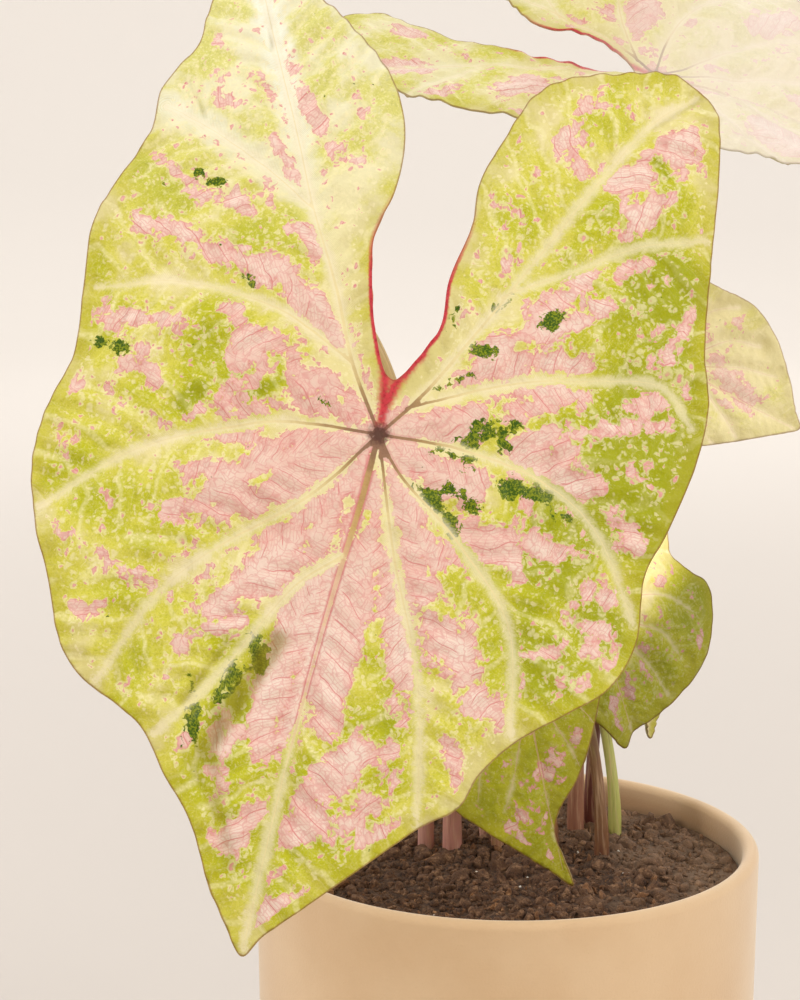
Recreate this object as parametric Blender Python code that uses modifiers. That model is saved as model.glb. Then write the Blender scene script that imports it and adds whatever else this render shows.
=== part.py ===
# A potted caladium: heart-shaped leaves on long stalks, growing from two tubers in a plain round pot.
# Metres, +Z up. The origin is the centre of the pot's flat base, and the leaves' front faces -Y.
import math

import bmesh
import bpy
import numpy as np
from mathutils import Vector, noise
from mathutils.geometry import delaunay_2d_cdt

MM = 0.001
GAP = 0.0003                 # clearance between neighbouring pieces

POT_RADIUS = 0.075
POT_FOOT_RADIUS = 0.0735
POT_HEIGHT = 0.135
POT_WALL = 0.0048
POT_FLOOR = 0.006
POT_SIDES = 48

SOIL_TOP = 0.126
SOIL_LUMP = 0.0016
SOIL_RINGS = 11
SOIL_SIDES = 40

TUBER_TOP = 0.100
TUBER_DEPTH = 0.026
TUBER_BULGE = 0.002          # how far a tuber's side stands out past its level crown
TUBER_CENTRES = {"left": (-0.013, 0.020), "right": (0.026, 0.022)}
TUBER_CROWNS = {"left": 0.0135, "right": 0.0185}

BLADE_THICKNESS = 0.0008
STALK_NECK = 0.006           # the stalk's last stretch, square to the blade
STALK_COLLAR = 0.004         # upright stretch just above the soil

# Outlines and veins are in millimetres in the leaf's own plane, x to the viewer's left when the
# leaf hangs tip down, y towards the tip, and (0, 0) where the stalk joins.
FRONT_OUTLINE = [
    (0, -14), (3, -16), (7, -24), (10, -32), (13, -43), (14, -50), (12, -62), (13, -76), (17, -87),
    (24, -96), (35, -105), (48, -113), (62, -118), (72, -113), (74, -102), (74, -93), (80, -80),
    (79, -66), (83, -50), (86, -36), (83, -17), (81, -3), (84, 14), (83, 29), (78, 42), (71, 54),
    (64, 68), (56, 76), (44, 81), (37, 85), (29, 94), (20, 103), (12, 116), (6, 124), (0, 131),
    (-4, 125), (-12, 116), (-26, 100), (-34, 91), (-42, 84), (-45, 75), (-52, 65), (-62, 56),
    (-71, 47), (-75, 34), (-73, 18), (-76, 6), (-79, -12), (-79, -28), (-75, -41), (-72, -58),
    (-70, -73), (-67, -92), (-63, -107), (-57, -113), (-48, -115), (-35, -111), (-23, -107),
    (-15, -98), (-11, -84), (-8, -71), (-9, -58), (-7, -43), (-8, -31), (-5, -22), (-2, -16)]
FRONT_VEINS = [
    [(0, 0), (0, 20), (1, 50), (1, 90), (0, 129)],
    [(0, 0), (11, -16), (20, -34), (31, -53), (41, -73), (53, -96), (62, -114)],
    [(0, 0), (-9, -14), (-21, -40), (-33, -68), (-46, -97), (-57, -111)],
    [(0, 0), (24, 3), (44, 11), (60, 20), (78, 38)],
    [(0, 0), (13, 20), (29, 35), (42, 51), (52, 76)],
    [(1, 32), (11, 43), (22, 66), (34, 85)],
    [(11, -16), (33, -25), (59, -26), (80, -20)],
    [(31, -53), (47, -62), (64, -70), (77, -74)],
    [(0, 0), (-22, -1), (-43, 2), (-59, 11), (-73, 30)],
    [(0, 0), (-8, 9), (-26, 22), (-43, 39), (-50, 64)],
    [(0, 0), (-11, 28), (-25, 58), (-33, 90)],
    [(-5, -8), (-28, -20), (-49, -27), (-66, -30), (-76, -22)],
    [(-21, -42), (-38, -54), (-51, -64), (-69, -72)]]
LOW_OUTLINE = [
    (0, -8), (4, -14), (9, -25), (16, -33), (24, -35), (31, -29), (34, -17), (35, 0), (34, 16),
    (28, 34), (20, 43), (10, 52), (4, 58), (-2, 64), (-1, 56), (0, 48), (-3, 41), (-10, 33),
    (-16, 22), (-21, 10), (-26, -3), (-29, -17), (-27, -29), (-20, -35), (-12, -31), (-6, -20),
    (-3, -12)]
SIDE_OUTLINE = [
    (0, -8), (5, -14), (9, -24), (15, -31), (22, -31), (26, -22), (27, -8), (25, 6), (20, 18),
    (14, 27), (9, 34), (4, 41), (-1, 37), (-10, 35), (-20, 31), (-27, 27), (-34, 20), (-40, 11),
    (-41, 3), (-36, -2), (-32, -9), (-34, -18), (-32, -28), (-24, -36), (-15, -32), (-7, -21),
    (-3, -13)]
FAR_OUTLINE = [
    (0, -9), (4, -16), (8, -28), (15, -38), (23, -39), (29, -30), (30, -14), (28, 2), (22, 17),
    (12, 31), (3, 42), (-1, 46), (-5, 42), (-14, 35), (-23, 26), (-29, 14), (-29, 2), (-29, -13),
    (-27, -27), (-21, -36), (-14, -35), (-8, -26), (-4, -15)]
TOP_OUTLINE = [
    (3, -6), (8, -17), (8, -29), (9, -41), (9, -60), (4, -76), (-1, -88), (6, -98), (20, -92),
    (33, -79), (45, -67), (50, -52), (54, -42), (51, -27), (49, -8), (45, 10), (38, 28), (32, 42),
    (24, 58), (13, 76), (2, 96), (-9, 86), (-22, 72), (-35, 54), (-45, 34), (-51, 12), (-54, -14),
    (-51, -40), (-43, -58), (-31, -62), (-19, -55), (-11, -46), (-7, -38), (-8, -26), (-3, -12)]

# Each leaf: where the stalk joins, the way the face looks (azimuth from -Y, elevation, roll), the
# fold of its two halves, how they round off, and how the tip and the lobes bend back.
LEAVES = {
    "front": dict(
        outline=FRONT_OUTLINE, span=(1.0, 1.0), at=(-37.2, -110, 274.5), face=(0, 22.8, 14.5),
        fold=(5, 5), cup=(0.0036, 0.0036), tip=0.0010, lobe=0.0018, size=120, wave=(2.2, 7, 0.6),
        puff=1.6, spacing=9.5, foot=(-16, 14), stalk=(2.7, 1.7), reach=(95, 62)),
    "low": dict(
        outline=LOW_OUTLINE, span=(0.38, 0.46), at=(2, -40, 198), face=(-4, 10, -12),
        fold=(8, 8), cup=(0.006, 0.006), tip=0.004, lobe=0.004, size=60, wave=(1.5, 6, 1.0),
        puff=1.0, spacing=8.0, foot=(14, 13), stalk=(2.1, 1.3), reach=(20, 10)),
    "side": dict(
        outline=SIDE_OUTLINE, span=(0.44, 0.34), at=(25, -6, 206), face=(20, 22, -14),
        fold=(6, 4), cup=(0.006, 0.009), tip=0.008, lobe=0.004, size=50, wave=(1.5, 5, 0.0),
        puff=1.0, spacing=8.0, foot=(29, 6), stalk=(1.9, 1.3), reach=(38, 24)),
    "under": dict(
        outline=FAR_OUTLINE, span=(0.36, 0.34), scale=0.88, at=(43, 40, 196), face=(66, 12, 4),
        fold=(8, 8), cup=(0.008, 0.008), tip=0.006, lobe=0.005, size=50, wave=(1.2, 5, 0.7),
        puff=0.9, spacing=8.5, foot=(35, 30), stalk=(1.8, 1.2), reach=(36, 20)),
    "far": dict(
        outline=FAR_OUTLINE, span=(0.36, 0.35), at=(55, 75, 269), face=(0, 18, -62),
        fold=(8, 8), cup=(0.006, 0.006), tip=0.004, lobe=0.004, size=55, wave=(1.5, 6, 2.0),
        puff=1.0, spacing=8.0, foot=(28, 37), stalk=(2.0, 1.3), reach=(75, 35)),
    "top": dict(
        outline=TOP_OUTLINE, span=(0.66, 0.83), at=(43.4, 30, 360.6), face=(0, 50, -68),
        fold=(22, 8), cup=(0.006, 0.004), tip=0.003, lobe=0.002, size=105, wave=(3.0, 6, 1.0),
        puff=1.4, spacing=9.5, foot=(23, 33), stalk=(2.4, 1.5), reach=(110, 60)),
    "left": dict(
        outline=FAR_OUTLINE, span=(0.36, 0.35), scale=1.1, at=(-73, 41, 317), face=(-125, 35, 0),
        fold=(9, 9), cup=(0.006, 0.006), tip=0.006, lobe=0.004, size=60, wave=(1.6, 6, 0.4),
        puff=1.0, spacing=9.0, foot=(-24, 18), stalk=(2.2, 1.4), reach=(150, 50)),
    "rear": dict(
        outline=FAR_OUTLINE, span=(0.36, 0.35), scale=1.15, at=(-16, 92, 224), face=(176, 38, 6),
        fold=(9, 9), cup=(0.006, 0.006), tip=0.006, lobe=0.004, size=60, wave=(1.6, 7, 1.4),
        puff=1.0, spacing=9.0, foot=(-5, 28), stalk=(2.1, 1.3), reach=(60, 30)),
}
SPEAR_FOOT = (-2, 16)        # the youngest leaf, still rolled up
SPEAR_TIP = (7, 6, 205)
SPEAR_RADII = [(0.0, 1.9), (0.45, 1.7), (0.6, 2.9), (0.78, 2.3), (1.0, 0.5)]


def clear_scene():
    for thing in list(bpy.data.objects):
        bpy.data.objects.remove(thing)


def make_collections():
    parts = bpy.data.collections.new("caladium")
    cutters = bpy.data.collections.new("caladium_cutters")
    for group in (parts, cutters):
        bpy.context.scene.collection.children.link(group)
    return parts, cutters


def material(name, colour, roughness):
    made = bpy.data.materials.new(name)
    made.use_nodes = True
    shader = made.node_tree.nodes["Principled BSDF"]
    shader.inputs["Base Color"].default_value = (*colour, 1.0)
    shader.inputs["Roughness"].default_value = roughness
    shader.inputs["Metallic"].default_value = 0.0
    return made


def add_object(name, data, group, look=None):
    made = bpy.data.objects.new(name, data)
    group.objects.link(made)
    if look:
        data.materials.append(look)
    return made


def mesh_from_bmesh(name, shape):
    mesh = bpy.data.meshes.new(name)
    shape.to_mesh(mesh)
    shape.free()
    return mesh


def turned(name, profile, sides, group, look=None):
    """A profile of (radius, height) pairs, outer side first from the top, turned about +Z."""
    shape = bmesh.new()
    points = [shape.verts.new((radius, 0, height)) for radius, height in profile]
    for first, second in zip(points, points[1:]):
        shape.edges.new((first, second))
    made = add_object(name, mesh_from_bmesh(name, shape), group, look)
    screw = made.modifiers.new("Turn", "SCREW")
    screw.steps = screw.render_steps = sides
    screw.use_merge_vertices = True
    screw.merge_threshold = 0.00001
    screw.use_smooth_shade = True
    return made


def arc_points(centre, radius, start, end, steps):
    """Points of a profile's round corner, from one angle to another in degrees."""
    angles = np.radians(np.linspace(start, end, steps))
    return [(centre[0] + radius * math.cos(a), centre[1] + radius * math.sin(a)) for a in angles]


def pot_inner_radius(height):
    outer = POT_FOOT_RADIUS + (POT_RADIUS - POT_FOOT_RADIUS) * height / POT_HEIGHT
    return outer - POT_WALL


def build_pot(group, look):
    lip = POT_WALL / 2
    foot_round = 0.003
    rim = arc_points((POT_RADIUS - lip, POT_HEIGHT - lip), lip, 90, 0, 4)
    foot = arc_points((POT_FOOT_RADIUS - foot_round, foot_round), foot_round, 0, -90, 3)
    inner_corner = arc_points((pot_inner_radius(POT_FLOOR) - 0.004, POT_FLOOR + 0.004), 0.004, -90, 0, 3)
    inner_rim = arc_points((POT_RADIUS - lip, POT_HEIGHT - lip), lip, 180, 90, 4)
    profile = rim + foot + [(0, 0)]
    inside = [(0, POT_FLOOR)] + inner_corner + inner_rim
    pot = turned("pot", profile + inside, POT_SIDES, group, look)
    return pot


def soil_height(x, y):
    """Crumbly surface, flat at the pot's wall so that it meets the wall cleanly."""
    lumps = noise.noise(Vector((x * 70, y * 70, 0.3))) + 0.6 * noise.noise(Vector((x * 160, y * 160, 4.1)))
    calm = min(1.0, (0.071 - math.hypot(x, y)) / 0.012)
    return SOIL_TOP + SOIL_LUMP * lumps * max(0.0, calm)


def build_soil(group, look):
    outer = pot_inner_radius(SOIL_TOP) - 2 * GAP
    low = POT_FLOOR + GAP
    low_radius = pot_inner_radius(POT_FLOOR) - 0.0045
    shape = bmesh.new()
    centre = shape.verts.new((0, 0, soil_height(0, 0)))
    rings = []
    for ring in range(1, SOIL_RINGS + 1):
        radius = outer * ring / SOIL_RINGS
        row = []
        for side in range(SOIL_SIDES):
            turn = 2 * math.pi * side / SOIL_SIDES
            x, y = radius * math.cos(turn), radius * math.sin(turn)
            row.append(shape.verts.new((x, y, soil_height(x, y))))
        rings.append(row)
    for radius, height in ((pot_inner_radius(low + 0.005) - 2 * GAP, low + 0.005), (low_radius, low)):
        rings.append([shape.verts.new((radius * math.cos(2 * math.pi * side / SOIL_SIDES),
                                       radius * math.sin(2 * math.pi * side / SOIL_SIDES), height))
                      for side in range(SOIL_SIDES)])
    for side in range(SOIL_SIDES):
        after = (side + 1) % SOIL_SIDES
        shape.faces.new((centre, rings[0][side], rings[0][after]))
        for inner, outer_row in zip(rings, rings[1:]):
            shape.faces.new((inner[side], outer_row[side], outer_row[after], inner[after]))
    shape.faces.new(list(reversed(rings[-1])))
    return add_object("soil", mesh_from_bmesh("soil", shape), group, look)


def tuber_profile(crown, grow):
    """A flattened tuber with a level crown; grow widens it all round for the hollow it lies in."""
    middle = TUBER_TOP - TUBER_DEPTH / 2
    side = [(crown + grow + TUBER_BULGE * math.cos(turn), middle + (middle - TUBER_TOP - grow) * -math.sin(turn))
            for turn in np.radians(np.linspace(90, -60, 7))]
    base = TUBER_TOP - TUBER_DEPTH - grow
    return [(0, TUBER_TOP + grow)] + side + [(crown * 0.7, base), (0, base)]


def build_tubers(group, cutters, look, soil):
    for name, (x, y) in TUBER_CENTRES.items():
        tuber = turned(f"tuber_{name}", tuber_profile(TUBER_CROWNS[name], 0.0), 20, group, look)
        tuber.location = (x, y, 0)
        hollow = turned(f"hollow_{name}", tuber_profile(TUBER_CROWNS[name], 0.0004), 20, cutters)
        hollow.location = (x, y, 0)
        cut(soil, hollow)


def cut(target, cutter):
    cutter.hide_render = True
    cutter.display_type = "WIRE"
    boolean = target.modifiers.new(cutter.name, "BOOLEAN")
    boolean.operation = "DIFFERENCE"
    boolean.solver = "EXACT"
    boolean.object = cutter


def stem_hole(name, foot, radius, cutters, soil):
    """A plain upright hole from above the soil down into a tuber's hollow."""
    bottom = TUBER_TOP - 0.001
    top = SOIL_TOP + 0.006
    bpy.ops.mesh.primitive_cylinder_add(
        vertices=12, radius=radius + 1.6 * GAP, depth=top - bottom,
        location=(foot[0] * MM, foot[1] * MM, (top + bottom) / 2))
    hole = bpy.context.active_object
    hole.name = f"hole_{name}"
    for group in list(hole.users_collection):
        group.objects.unlink(hole)
    cutters.objects.link(hole)
    cut(soil, hole)


def smooth_closed(points, step):
    """A closed Catmull-Rom curve through the points, one sample about every step."""
    points = np.array(points, float)
    found = []
    for i in range(len(points)):
        p0, p1, p2, p3 = (points[(i + k) % len(points)] for k in (-1, 0, 1, 2))
        count = max(1, round(float(np.linalg.norm(p2 - p1)) / step))
        for t in np.arange(count) / count:
            found.append(0.5 * (2 * p1 + (p2 - p0) * t + (2 * p0 - 5 * p1 + 4 * p2 - p3) * t ** 2
                                + (3 * p1 - p0 - 3 * p2 + p3) * t ** 3))
    return np.array(found)


def smooth_open(points, step):
    """The same curve, open: samples along a vein."""
    points = np.array(points, float)
    points = np.vstack([2 * points[0] - points[1], points, 2 * points[-1] - points[-2]])
    found = []
    for i in range(1, len(points) - 2):
        p0, p1, p2, p3 = points[i - 1:i + 3]
        count = max(1, round(float(np.linalg.norm(p2 - p1)) / step))
        for t in np.arange(count) / count:
            found.append(0.5 * (2 * p1 + (p2 - p0) * t + (2 * p0 - 5 * p1 + 4 * p2 - p3) * t ** 2
                                + (3 * p1 - p0 - 3 * p2 + p3) * t ** 3))
    return np.array(found + [points[-2]])


def distance_to_lines(points, lines):
    """Distance of each point to the nearest segment of the polylines."""
    best = np.full(len(points), 1e9)
    for line in lines:
        for start, end in zip(line, line[1:]):
            along = end - start
            share = np.clip((points - start) @ along / max(along @ along, 1e-12), 0, 1)
            best = np.minimum(best, np.linalg.norm(points - start - share[:, None] * along, axis=1))
    return best


def inside(points, polygon):
    """Which points lie inside a closed polygon, by crossings."""
    result = np.zeros(len(points), bool)
    x, y = points[:, 0], points[:, 1]
    for (x0, y0), (x1, y1) in zip(polygon, np.roll(polygon, -1, axis=0)):
        if y0 != y1:
            result ^= ((y0 > y) != (y1 > y)) & (x < (x1 - x0) * (y - y0) / (y1 - y0) + x0)
    return result


def leaf_outline(leaf):
    return np.array(leaf["outline"], float) * leaf.get("scale", 1.0)


def leaf_veins(leaf):
    """The front leaf's vein pattern, drawn to this leaf's own width and length."""
    span = np.array(leaf["span"]) * leaf.get("scale", 1.0)
    return [smooth_open(np.array(vein, float) * span, leaf["spacing"] * 0.9) for vein in FRONT_VEINS]


def arc(length, rate):
    """How far a circular bend of this rate runs forward, and how far it drops."""
    rate = np.where(np.abs(rate) < 1e-7, 1e-7, rate)
    return np.sin(rate * length) / rate, (1 - np.cos(rate * length)) / rate


def bend(flat, veins, leaf):
    """Flat leaf coordinates to the bent leaf's own frame, all in millimetres."""
    x, y = flat[:, 0], flat[:, 1]
    rate = np.where(y > 0, leaf["tip"], leaf["lobe"])
    run, drop = arc(y, rate)
    turn = rate * y
    fold = np.radians(np.where(x > 0, leaf["fold"][0], leaf["fold"][1]))
    across, sag = arc(x, np.where(x > 0, leaf["cup"][0], leaf["cup"][1]))
    height, count, phase = leaf["wave"]
    reach = np.hypot(x, y) / leaf["size"]
    wave = height * reach ** 2 * np.sin(count * np.arctan2(x, y) + phase)
    quilt_width = 0.05 * leaf["size"]
    quilt = leaf["puff"] * (1 - np.exp(-(distance_to_lines(flat, veins) / quilt_width) ** 2))
    lift = np.abs(across) * np.sin(fold) - sag * np.cos(fold) + wave + quilt
    across = across * np.cos(fold)
    return np.stack([across, run + lift * np.sin(turn), lift * np.cos(turn) - drop], axis=-1)


def leaf_axes(leaf):
    """Unit vectors across the leaf, towards its tip, and out of its upper face."""
    azimuth, elevation, roll = np.radians(leaf["face"])
    out = np.array([math.sin(azimuth) * math.cos(elevation),
                    -math.cos(azimuth) * math.cos(elevation), math.sin(elevation)])
    level = np.array([-math.cos(azimuth), -math.sin(azimuth), 0.0])
    down = np.cross(out, level)
    tip = math.cos(roll) * down + math.sin(roll) * level
    return np.cross(tip, out), tip, out


def leaf_points(flat, leaf):
    """Flat leaf coordinates to their place on the plant, in metres."""
    local = bend(flat, leaf_veins(leaf), leaf)
    return (np.array(leaf["at"]) + local @ np.array(leaf_axes(leaf))) * MM


def flat_triangles(leaf):
    """The flat leaf as near-even triangles, with its veins along their edges."""
    spacing = leaf["spacing"]
    rim = smooth_closed(leaf_outline(leaf), spacing * 0.8)
    veins = [vein[inside(vein, rim) & (distance_to_lines(vein, [np.vstack([rim, rim[:1]])]) > spacing * 0.3)]
             for vein in leaf_veins(leaf)]
    low, high = rim.min(axis=0), rim.max(axis=0)
    rows = np.arange(low[1], high[1], spacing * 0.866)
    grid = np.array([(x + (row % 2) * spacing / 2, y) for row, y in enumerate(rows)
                     for x in np.arange(low[0], high[0], spacing)])
    grid = grid[inside(grid, rim)]
    keep = distance_to_lines(grid, [np.vstack([rim, rim[:1]])]) > spacing * 0.5
    keep &= distance_to_lines(grid, veins) > spacing * 0.5
    points, links = list(rim), [(i, (i + 1) % len(rim)) for i in range(len(rim))]
    for vein in veins:
        start = len(points)
        points += list(vein)
        links += [(start + i, start + i + 1) for i in range(len(vein) - 1)]
    points += list(grid[keep])
    spots, _, faces, *_ = delaunay_2d_cdt([Vector(p) for p in points], links, [], 1, 0.4)
    return np.array([tuple(spot) for spot in spots]), faces


def build_blade(name, leaf, group, look):
    flat, faces = flat_triangles(leaf)
    mesh = bpy.data.meshes.new(f"blade_{name}")
    mesh.from_pydata(leaf_points(flat, leaf).tolist(), [], faces)
    out = Vector(leaf_axes(leaf)[2])
    if sum((face.normal.dot(out) * face.area for face in mesh.polygons), 0.0) < 0:
        mesh.flip_normals()
    mesh.shade_smooth()
    blade = add_object(f"blade_{name}", mesh, group, look)
    wall = blade.modifiers.new("Thickness", "SOLIDIFY")
    wall.thickness = BLADE_THICKNESS
    wall.offset = -1.0
    return blade


def bezier(p0, p1, p2, p3, steps):
    t = np.linspace(0, 1, steps)[:, None]
    return (1 - t) ** 3 * p0 + 3 * (1 - t) ** 2 * t * p1 + 3 * (1 - t) * t ** 2 * p2 + t ** 3 * p3


def tube(name, path, radii, group, look):
    """A closed round tube along a path, thinner where its radii say so."""
    curve = bpy.data.curves.new(name, "CURVE")
    curve.dimensions = "3D"
    curve.bevel_depth = 1.0
    curve.bevel_resolution = 2
    curve.use_fill_caps = True
    spline = curve.splines.new("POLY")
    spline.points.add(len(path) - 1)
    for point, spot, radius in zip(spline.points, path, radii):
        point.co = (*spot, 1.0)
        point.radius = radius
    return add_object(name, curve, group, look)


def stalk_path(leaf):
    """From a tuber's crown straight up out of the soil, then over to the blade's underside."""
    foot = np.array([*leaf["foot"], 0.0]) * MM
    root = foot + (0, 0, TUBER_TOP + GAP)
    collar = foot + (0, 0, SOIL_TOP + STALK_COLLAR)
    across, tip, out = leaf_axes(leaf)
    seat = np.array(leaf["at"]) * MM - out * (BLADE_THICKNESS + GAP)
    neck = seat - out * STALK_NECK
    rise, arrive = np.array(leaf["reach"]) * MM
    bow = bezier(collar, collar + (0, 0, rise), neck - out * arrive, neck, 11)
    return np.vstack([[root], bow, [seat]])


def build_stalk(name, leaf, group, cutters, look, soil):
    path = stalk_path(leaf)
    base, end = np.array(leaf["stalk"]) * MM
    radii = np.linspace(base, end, len(path))
    radii[0] = radii[1] = base
    tube(f"stalk_{name}", path, radii, group, look)
    stem_hole(name, leaf["foot"], base, cutters, soil)


def build_spear(group, cutters, look, soil):
    foot = np.array([*SPEAR_FOOT, 0.0]) * MM
    tip = np.array(SPEAR_TIP) * MM
    collar = foot + (0, 0, SOIL_TOP + STALK_COLLAR)
    bow = bezier(collar, collar + (0, 0, 0.03), tip - (0, 0, 0.02), tip, 14)
    path = np.vstack([[foot + (0, 0, TUBER_TOP + GAP)], bow])
    shares, widths = zip(*SPEAR_RADII)
    radii = np.interp(np.linspace(0, 1, len(path)), shares, widths) * MM
    tube("young_leaf", path, radii, group, look)
    stem_hole("young_leaf", SPEAR_FOOT, SPEAR_RADII[0][1] * MM, cutters, soil)


def main():
    clear_scene()
    parts, cutters = make_collections()
    ceramic = material("pot_ceramic", (0.72, 0.50, 0.30), 0.7)
    earth = material("potting_soil", (0.08, 0.045, 0.025), 0.95)
    root = material("tuber_skin", (0.30, 0.19, 0.11), 0.8)
    leaf_look = material("leaf_blade", (0.56, 0.60, 0.20), 0.5)
    stalk_look = material("leaf_stalk", (0.42, 0.26, 0.18), 0.5)
    young_look = material("young_leaf", (0.55, 0.42, 0.28), 0.5)
    build_pot(parts, ceramic)
    soil = build_soil(parts, earth)
    build_tubers(parts, cutters, root, soil)
    for name, leaf in LEAVES.items():
        build_blade(name, leaf, parts, leaf_look)
        build_stalk(name, leaf, parts, cutters, stalk_look, soil)
    build_spear(parts, cutters, young_look, soil)


main()
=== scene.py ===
import math

import bmesh
import bpy
import numpy as np
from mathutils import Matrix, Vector, noise
from mathutils.geometry import delaunay_2d_cdt


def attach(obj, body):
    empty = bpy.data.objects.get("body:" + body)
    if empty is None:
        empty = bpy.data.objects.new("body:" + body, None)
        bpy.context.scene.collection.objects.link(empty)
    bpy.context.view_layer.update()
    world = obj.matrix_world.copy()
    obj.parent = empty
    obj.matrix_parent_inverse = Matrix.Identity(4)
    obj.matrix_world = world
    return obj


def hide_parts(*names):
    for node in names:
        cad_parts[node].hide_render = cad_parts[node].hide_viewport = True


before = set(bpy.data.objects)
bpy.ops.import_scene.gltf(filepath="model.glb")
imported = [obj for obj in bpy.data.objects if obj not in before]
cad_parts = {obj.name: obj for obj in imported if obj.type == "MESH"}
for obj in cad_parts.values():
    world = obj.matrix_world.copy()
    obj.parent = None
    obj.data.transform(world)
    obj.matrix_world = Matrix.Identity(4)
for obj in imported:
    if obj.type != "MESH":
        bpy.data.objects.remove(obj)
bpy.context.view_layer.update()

# The plant's own measures, in metres unless a name or comment says millimetres.
MM = 0.001
GAP = 0.0003
POT_RADIUS = 0.075
POT_FOOT_RADIUS = 0.0735
POT_HEIGHT = 0.135
POT_WALL = 0.0048
POT_FLOOR = 0.006
SOIL_TOP = 0.126
SOIL_LUMP = 0.0016
TUBER_TOP = 0.100
TUBER_DEPTH = 0.026
TUBER_BULGE = 0.002
TUBER_CENTRES = {"left": (-0.013, 0.020), "right": (0.026, 0.022)}
TUBER_CROWNS = {"left": 0.0135, "right": 0.0185}
BLADE_THICKNESS = 0.0008
RIM_THICKNESS = 0.00045
STALK_NECK = 0.006
STALK_COLLAR = 0.004
RIB_HEIGHT = 0.00055
TRIANGLE = 1.0               # a fine blade's triangles, in millimetres
ROW_PITCH = 0.866            # from one row of triangles to the next, in their sides
PLANE_UNIT = 100.0           # the leaf plane's UV map counts in this many millimetres
LEAF_SHIFT = 37.0            # how far apart two leaves are in the noise, in millimetres
BLADE_SHADE = 0.93           # the blades' colours, given as the photo's light shows them
SOIL_ROWS = 110
SOIL_SIDES = 300

# Outlines and veins are in millimetres in the leaf's own plane, x to the viewer's left when the
# leaf hangs tip down, y towards the tip, and (0, 0) where the stalk joins.
FRONT_OUTLINE = [
    (0, -14), (3, -16), (7, -24), (10, -32), (13, -43), (14, -50), (12, -62), (13, -76), (17, -87),
    (24, -96), (35, -105), (48, -113), (62, -118), (72, -113), (74, -102), (74, -93), (80, -80),
    (79, -66), (83, -50), (86, -36), (83, -17), (81, -3), (84, 14), (83, 29), (78, 42), (71, 54),
    (64, 68), (56, 76), (44, 81), (37, 85), (29, 94), (20, 103), (12, 116), (6, 124), (0, 131),
    (-4, 125), (-12, 116), (-26, 100), (-34, 91), (-42, 84), (-45, 75), (-52, 65), (-62, 56),
    (-71, 47), (-75, 34), (-73, 18), (-76, 6), (-79, -12), (-79, -28), (-75, -41), (-72, -58),
    (-70, -73), (-67, -92), (-63, -107), (-57, -113), (-48, -115), (-35, -111), (-23, -107),
    (-15, -98), (-11, -84), (-8, -71), (-9, -58), (-7, -43), (-8, -31), (-5, -22), (-2, -16)]
FRONT_VEINS = [
    [(0, 0), (0, 20), (1, 50), (1, 90), (0, 129)],
    [(0, 0), (11, -16), (20, -34), (31, -53), (41, -73), (53, -96), (62, -114)],
    [(0, 0), (-9, -14), (-21, -40), (-33, -68), (-46, -97), (-57, -111)],
    [(0, 0), (24, 3), (44, 11), (60, 20), (78, 38)],
    [(0, 0), (13, 20), (29, 35), (42, 51), (52, 76)],
    [(1, 32), (11, 43), (22, 66), (34, 85)],
    [(11, -16), (33, -25), (59, -26), (80, -20)],
    [(31, -53), (47, -62), (64, -70), (77, -74)],
    [(0, 0), (-22, -1), (-43, 2), (-59, 11), (-73, 30)],
    [(0, 0), (-8, 9), (-26, 22), (-43, 39), (-50, 64)],
    [(0, 0), (-11, 28), (-25, 58), (-33, 90)],
    [(-5, -8), (-28, -20), (-49, -27), (-66, -30), (-76, -22)],
    [(-21, -42), (-38, -54), (-51, -64), (-69, -72)]]
VEIN_WIDTHS = [0.80, 0.62, 0.62, 0.55, 0.55, 0.42, 0.42, 0.36, 0.52, 0.52, 0.48, 0.46, 0.38]
LOW_OUTLINE = [
    (0, -8), (4, -14), (9, -25), (16, -33), (24, -35), (31, -29), (34, -17), (35, 0), (34, 16),
    (28, 34), (20, 43), (10, 52), (4, 58), (-2, 64), (-1, 56), (0, 48), (-3, 41), (-10, 33),
    (-16, 22), (-21, 10), (-26, -3), (-29, -17), (-27, -29), (-20, -35), (-12, -31), (-6, -20),
    (-3, -12)]
SIDE_OUTLINE = [
    (0, -8), (5, -14), (9, -24), (15, -31), (22, -31), (26, -22), (27, -8), (25, 6), (20, 18),
    (14, 27), (9, 34), (4, 41), (-1, 37), (-10, 35), (-20, 31), (-27, 27), (-34, 20), (-40, 11),
    (-41, 3), (-36, -2), (-32, -9), (-34, -18), (-32, -28), (-24, -36), (-15, -32), (-7, -21),
    (-3, -13)]
FAR_OUTLINE = [
    (0, -9), (4, -16), (8, -28), (15, -38), (23, -39), (29, -30), (30, -14), (28, 2), (22, 17),
    (12, 31), (3, 42), (-1, 46), (-5, 42), (-14, 35), (-23, 26), (-29, 14), (-29, 2), (-29, -13),
    (-27, -27), (-21, -36), (-14, -35), (-8, -26), (-4, -15)]
TOP_OUTLINE = [
    (3, -6), (8, -17), (8, -29), (9, -41), (9, -60), (4, -76), (-1, -88), (6, -98), (20, -92),
    (33, -79), (45, -67), (50, -52), (54, -42), (51, -27), (49, -8), (45, 10), (38, 28), (32, 42),
    (24, 58), (13, 76), (2, 96), (-9, 86), (-22, 72), (-35, 54), (-45, 34), (-51, 12), (-54, -14),
    (-51, -40), (-43, -58), (-31, -62), (-19, -55), (-11, -46), (-7, -38), (-8, -26), (-3, -12)]

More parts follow.
